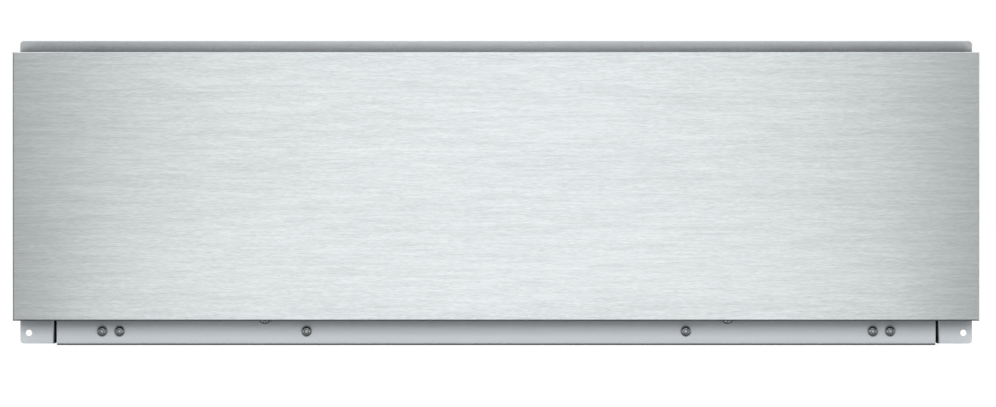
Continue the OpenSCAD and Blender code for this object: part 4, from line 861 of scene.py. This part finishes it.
feetLow, feetHigh = boxOf("rack_feet")
footX = feetHigh[0] - footShape["outer"]
footYs = (feetLow[1], feetHigh[1] - footShape["length"])
sleeves = [ribbedSleeve(x, y) for x in (-footX, footX) for y in footYs]
rackFeet = addPiece("rackFeet", joinShapes(sleeves), sealRubber, 35)
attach(rackFeet, "rack")
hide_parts("rack_feet")

# The screws in the strip: domed heads with a six-lobed drive, and threads behind the sheet
headLook = dict(screwLook, dark=(0.22, 0.23, 0.24), light=(0.52, 0.54, 0.56), rubbed=(0.62, 0.63, 0.64),
    rough=0.13)
headSteel = metalFinish("domedHeads", headLook)
dress(headSteel, "strip_screws")
headShape = {
    "sides": 48, "lobes": 6, "depthOfLobes": 0.13,
    "shank": 2.0, "pitch": 0.8, "thread": 0.28, "crest": (0.45, 0.55), "tip": (0.6, 0.3),
    # (radius, height) from the seat over the dome to the drive, then down into it
    "dome": ((1.0, 0.0), (1.0, 0.2), (0.98, 0.42), (0.93, 0.63), (0.85, 0.79), (0.75, 0.89), (0.65, 0.94),
        (0.6, 0.95)),
    "drive": ((0.57, 0.95), (0.43, 0.5), (0.40, 0.46)),
}


def lobedScrew(spans, seatY, turn):
    # rings of points about the screw's axis, from the tip of its thread to the floor of its drive
    (left, right), (topY, tipY), (low, high) = spans
    headRadius, shank, pitch = (right - left) / 2, headShape["shank"], headShape["pitch"]
    rings = []

    def addRing(radius, y, depth=0.0):
        ring = []
        for angle in roundAngles(headShape["sides"]):
            r = radius * (1 - depth + depth * math.cos(headShape["lobes"] * angle))
            ring.append(((left + right) / 2 + r * math.cos(angle + turn), y,
                (low + high) / 2 + r * math.sin(angle + turn)))
        rings.append(ring)
    addRing(shank * headShape["tip"][0], tipY)
    y = tipY - headShape["tip"][1]
    while y - pitch > seatY:                        # the tip is behind the seat, at a larger y
        addRing(shank - headShape["thread"], y)
        for share in headShape["crest"]:
            addRing(shank, y - pitch * share)
        y -= pitch
    addRing(shank, seatY)
    for steps, depth in ((headShape["dome"], 0.0), (headShape["drive"], headShape["depthOfLobes"])):
        for share, height in steps:
            addRing(headRadius * share, seatY - (seatY - topY) * height, depth)
    return sweptRings(rings, False)


stripFaceY = boxOf("base_pan")[0][1]
screwIslands = meshIslands(nodes["strip_screws"].data)[1]
screws = [lobedScrew(spansOf(points), stripFaceY, random.uniform(0, 1)) for points in screwIslands.values()]
stripScrews = addPiece("stripScrews", joinShapes(screws), headSteel, 35)
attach(stripScrews, "housing")
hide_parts("strip_screws")
print("screws", len(screws))

# The latch springs: round wire wound between each plunger and the end of its housing
springLook = dict(screwLook, dark=(0.42, 0.43, 0.44), light=(0.74, 0.75, 0.76), streaks=(900, 900, 900))
springSteel = metalFinish("springSteel", springLook)
springShape = {
    "radius": 3.3, "wire": 0.35, "turns": 8, "steps": 20, "sides": 8, "flat": 0.9,
    "inset": 3.7, "press": 3.0,  # from the outer side of its box to its axis, and how far a plunger is pushed
}


def woundSpring(x, z, y0, y1):
    wire, flat, turns = springShape["wire"], springShape["flat"], springShape["turns"]
    total = turns + 2 * flat                        # closed turns at both ends
    count = int(total * springShape["steps"])
    climb = y1 - y0 - 2 * wire - 4 * flat * wire
    rings = []
    for i in range(count + 1):
        turn = total * i / count
        share = min(1, max(0, (turn - flat) / turns))
        ends = min(turn, flat) + max(0, turn - flat - turns)
        y = y0 + wire + ends * 2 * wire + share * climb
        ring = []
        for around in roundAngles(springShape["sides"]):
            r = springShape["radius"] + wire * math.cos(around)
            ring.append((x + r * math.cos(2 * math.pi * turn), y + wire * math.sin(around),
                z + r * math.sin(2 * math.pi * turn)))
        rings.append(ring)
    return sweptRings(rings, False)


springLow, springHigh = boxOf("latch_springs")
springX = springHigh[0] - springShape["inset"]
springZ = (springLow[2] + springHigh[2]) / 2
springFront = springLow[1] - springShape["press"]    # the frame's springs have their pressed length
springRear = springHigh[1]
for side, x in (("left", -springX), ("right", springX)):
    spring = addPiece(side + "LatchSpring", woundSpring(x, springZ, springFront, springRear), springSteel, 60)
    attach(spring, "housing")
    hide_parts("latch_springs")
    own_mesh(spring)
print("seal, mat, feet and springs made")

# The insulation: needled glass-fibre blankets, cut to size, with soft uneven faces
woolLook = {
    "dark": (0.62, 0.58, 0.44), "light": (0.88, 0.85, 0.74), "fibres": 420.0, "depth": 0.0015, "bump": 0.8,
    "tufts": 30.0, "tuftContrast": 1.2, "tuftShare": 0.3, "toneRange": (0.3, 0.75),
    "shader": {"Roughness": 0.95, "Sheen Weight": 0.35, "Sheen Roughness": 0.6},
}
glassWool = woolFinish("glassWool", woolLook)
blankets = {                                        # node: (piece, body, voxel)
    "side_insulation": ("sideBlankets", "housing", 0.0035),
    "top_insulation": ("topBlanket", "housing", 0.005),
    "rear_insulation": ("rearBlanket", "housing", 0.004),
    "floor_insulation": ("floorBlanket", "housing", 0.005),
    "front_insulation": ("frontBlanket", "drawer", 0.004),
}
blanketShape = {
    "softening": 3, "sink": 0.0004, "lumps": 0.0013, "lumpScale": 38.0, "fuzz": 0.0004, "fuzzScale": 210.0,
}


def makeBlanket(source, name, body, voxel):
    made = bpy.data.objects.new(name, nodes[source].data.copy())
    bpy.context.scene.collection.objects.link(made)
    made.matrix_world = nodes[source].matrix_world.copy()
    remesh = made.modifiers.new("remesh", "REMESH")
    remesh.mode = "VOXEL"
    remesh.voxel_size = voxel
    made.modifiers.new("soften", "SMOOTH").iterations = blanketShape["softening"]
    found = made.evaluated_get(bpy.context.evaluated_depsgraph_get())
    mesh = bpy.data.meshes.new_from_object(found)
    made.modifiers.clear()
    made.data = mesh
    normals = [v.normal.copy() for v in mesh.vertices]
    for v, normal in zip(mesh.vertices, normals):
        lump = 0.5 + 0.5 * noise.noise(v.co * blanketShape["lumpScale"])
        fuzz = 0.5 + 0.5 * noise.noise(v.co * blanketShape["fuzzScale"])
        v.co -= normal * (blanketShape["sink"] + blanketShape["lumps"] * lump + blanketShape["fuzz"] * fuzz)
    for face in mesh.polygons:
        face.use_smooth = True
    mesh.materials.clear()
    mesh.materials.append(glassWool)
    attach(made, body)
    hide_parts(source)
    print(name, len(mesh.vertices), "points")


for source, (name, body, voxel) in blankets.items():
    makeBlanket(source, name, body, voxel)
print("blankets made")

# The mark beside the knob: printed bars on the fascia that grow from cool to hot
dialLook = {"dark": (0.72, 0.72, 0.71), "light": (0.86, 0.86, 0.85), "rough": 0.55, "wear": 0.0, "dust": 0.04}
dialPrint = mouldedFinish("dialPrint", dialLook)
dialShape = {"radius": 14.6, "short": 0.6, "long": 3.2, "wide": 0.9, "lift": 0.04, "bars": 6, "spread": 62.0}


def dialBar(side, i):
    last = 2 * dialShape["bars"] - 1
    start = math.pi if side < 0 else 0
    angle = start + math.radians(dialShape["spread"] * (i / (dialShape["bars"] - 1) - 0.5)) * side
    order = i if side < 0 else last - i
    long = dialShape["short"] + (dialShape["long"] - dialShape["short"]) * order / last
    points = []
    for lift in (0, dialShape["lift"]):
        for r, w in ((0, -1), (long, -1), (long, 1), (0, 1)):
            reach, across = dialShape["radius"] + r, dialShape["wide"] / 2 * w
            points.append((knobCentre.x / mm + reach * math.cos(angle) - across * math.sin(angle),
                fasciaY / mm - lift,
                knobCentre.z / mm + reach * math.sin(angle) + across * math.cos(angle)))
    return points, [(0, 1, 2, 3), (4, 5, 6, 7), (0, 1, 5, 4), (1, 2, 6, 5), (2, 3, 7, 6), (3, 0, 4, 7)]


bars = [dialBar(side, i) for side in (-1, 1) for i in range(dialShape["bars"])]
dialMarks = addPiece("dialMarks", joinShapes(bars), dialPrint, 20)
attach(dialMarks, "housing")

# What a metal face sees of the room, by how far to the side it looks, and of the floor
roomLook = {
    # (share of the way to the side, brightness)
    "spread": ((0.0, 1.07), (0.08, 1.06), (0.12, 0.97), (0.15, 0.52), (0.185, 0.1), (0.28, 0.02), (0.42, 0.5),
        (1.0, 0.7)),
    "back": 0.8, "backTo": (-0.05, 0.1), "softbox": 1.15, "softboxFrom": (0.12, 0.3),
    "overhead": 0.5, "overheadFrom": (0.5, 0.8), "fill": 0.5,
    "leastForward": 0.02,
}
floorLook = {
    "half": 9.0, "drop": 0.0004, "grey": 0.45, "level": 0.8, "beside": 0.5, "turn": 0.15, "under": 0.03,
    "footFade": (-0.03, 0.03),   # metres out from the object's foot, from dark to bright
}


def spreadRamp(tree, across, reach):
    # how bright the wall in front is at this distance to the side
    aside = mathNode(tree, "DIVIDE", across, reach)
    ramp = addNode(tree, "ShaderNodeValToRGB", {0: aside})
    ramp.color_ramp.interpolation = "EASE"
    stops = roomLook["spread"]
    ramp.color_ramp.elements[0].position = stops[0][0]
    ramp.color_ramp.elements[1].position = stops[-1][0]
    while len(ramp.color_ramp.elements) < len(stops):
        ramp.color_ramp.elements.new(0.5)
    for element, (place, level) in zip(ramp.color_ramp.elements, stops):
        element.position = place
        element.color = (level, level, level, 1)
    return ramp.outputs[0]


def paintFloor(tree):
    # a pale floor that shows white to the camera, keeps a faint shadow, and is dark under the object to metal
    light = addNode(tree, "ShaderNodeLightPath").outputs
    grey = (floorLook["grey"],) * 3
    matte = addNode(tree, "ShaderNodeBsdfDiffuse", {"Color": grey}).outputs[0]
    shown = mathNode(tree, "MULTIPLY", light["Is Camera Ray"], floorLook["level"])
    glow = addNode(tree, "ShaderNodeEmission", {"Strength": shown}).outputs[0]
    seen = addNode(tree, "ShaderNodeAddShader", {0: matte, 1: glow}).outputs[0]
    place = objectPlace(tree)
    ahead = mathNode(tree, "SUBTRACT", frontY, axesOf(tree, place)[1])
    sides = axesOf(tree, vectorNode(tree, "ABSOLUTE", place))
    before = mathNode(tree, "MAXIMUM", ahead, 0)
    reach = mathNode(tree, "ADD", before, shot["distance"])
    beside = mathNode(tree, "SUBTRACT", sides[0], cadBox[1].x)
    beyond = mathNode(tree, "ADD", sides[1], frontY)
    clear = mathNode(tree, "MAXIMUM", beside, beyond)
    nearness = rangeNode(tree, clear, *floorLook["footFade"], floorLook["under"], 1, smooth=True)
    turned = rangeNode(tree, ahead, 0, floorLook["turn"], 0, 1)
    wall = numberMix(tree, turned, floorLook["beside"], spreadRamp(tree, sides[0], reach))
    mirrored = mathNode(tree, "MULTIPLY", wall, nearness)
    shine = addNode(tree, "ShaderNodeEmission", {"Strength": mirrored}).outputs[0]
    mixed = shaderMix(tree, light["Is Glossy Ray"], seen, shine)
    addNode(tree, "ShaderNodeOutputMaterial", {0: mixed})


def paintRoom(tree):
    # white to the camera, plain fill for the object, and a soft bright wall in front for metal to mirror
    light = addNode(tree, "ShaderNodeLightPath").outputs
    way = axesOf(tree, addNode(tree, "ShaderNodeTexCoord").outputs["Generated"])
    forward = mathNode(tree, "MULTIPLY", way[1], -1)
    wall = spreadRamp(tree, mathNode(tree, "ABSOLUTE", way[0]),
        mathNode(tree, "MAXIMUM", forward, roomLook["leastForward"]))
    turned = rangeNode(tree, forward, *roomLook["backTo"], 0, 1)
    around = numberMix(tree, turned, roomLook["back"], wall)
    raised = rangeNode(tree, way[2], *roomLook["softboxFrom"], 1, roomLook["softbox"], smooth=True)
    overhead = rangeNode(tree, way[2], *roomLook["overheadFrom"], 0, 1, smooth=True)
    walls = mathNode(tree, "MULTIPLY", around, raised)
    level = numberMix(tree, overhead, walls, roomLook["overhead"])
    plain, filled, mirrored = [
        addNode(tree, "ShaderNodeBackground", {"Color": (1, 1, 1), "Strength": strength}).outputs[0]
        for strength in (1, roomLook["fill"], level)]
    inside = shaderMix(tree, light["Is Glossy Ray"], filled, mirrored)
    outside = shaderMix(tree, light["Is Camera Ray"], inside, plain)
    addNode(tree, "ShaderNodeOutputWorld", {0: outside})


floorMesh = bpy.data.meshes.new("floor")
half = floorLook["half"]
floorCorners = [(-half, -half, 0), (half, -half, 0), (half, half, 0), (-half, half, 0)]
floorMesh.from_pydata(floorCorners, [], [(0, 1, 2, 3)])
floorObject = bpy.data.objects.new("floor", floorMesh)
floorObject.location.z = -floorLook["drop"]
bpy.context.scene.collection.objects.link(floorObject)
floorObject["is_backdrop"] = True
floorPaint = bpy.data.materials.new("paleFloor")
room = bpy.data.worlds.new("room")
bpy.context.scene.world = room
for made, paint in ((floorPaint, paintFloor), (room, paintRoom)):
    made.use_nodes = True
    made.node_tree.nodes.clear()
    paint(made.node_tree)
floorMesh.materials.append(floorPaint)


def softLamp(name, size, power, at, aim):
    data = bpy.data.lights.new(name, "AREA")
    data.shape = "RECTANGLE"
    data.size, data.size_y = size
    data.energy = power
    made = bpy.data.objects.new(name, data)
    bpy.context.scene.collection.objects.link(made)
    made.location = at
    made.rotation_euler = (Vector(aim) - Vector(at)).to_track_quat("-Z", "Y").to_euler()
    return made


lamps = {                                           # size, power, place and aim
    "topLamp": ((4.0, 3.0), 24, (0, -0.2, 2.4), (0, 0, 0.1)),
    "frontLamp": ((2.6, 1.0), 46, (0, -2.6, 1.0), (0, 0, 0.12)),
}
madeLamps = {name: softLamp(name, *lamp) for name, lamp in lamps.items()}
madeLamps["frontLamp"].visible_glossy = False      # metal mirrors the room's own soft wall instead
print("floor, room and lamps made")

(low, high), (shownLow, shownHigh) = cadBox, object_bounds()
print("size: cad", [round(h - l, 4) for l, h in zip(low, high)], "shown",
    [round(h - l, 4) for l, h in zip(shownLow, shownHigh)])
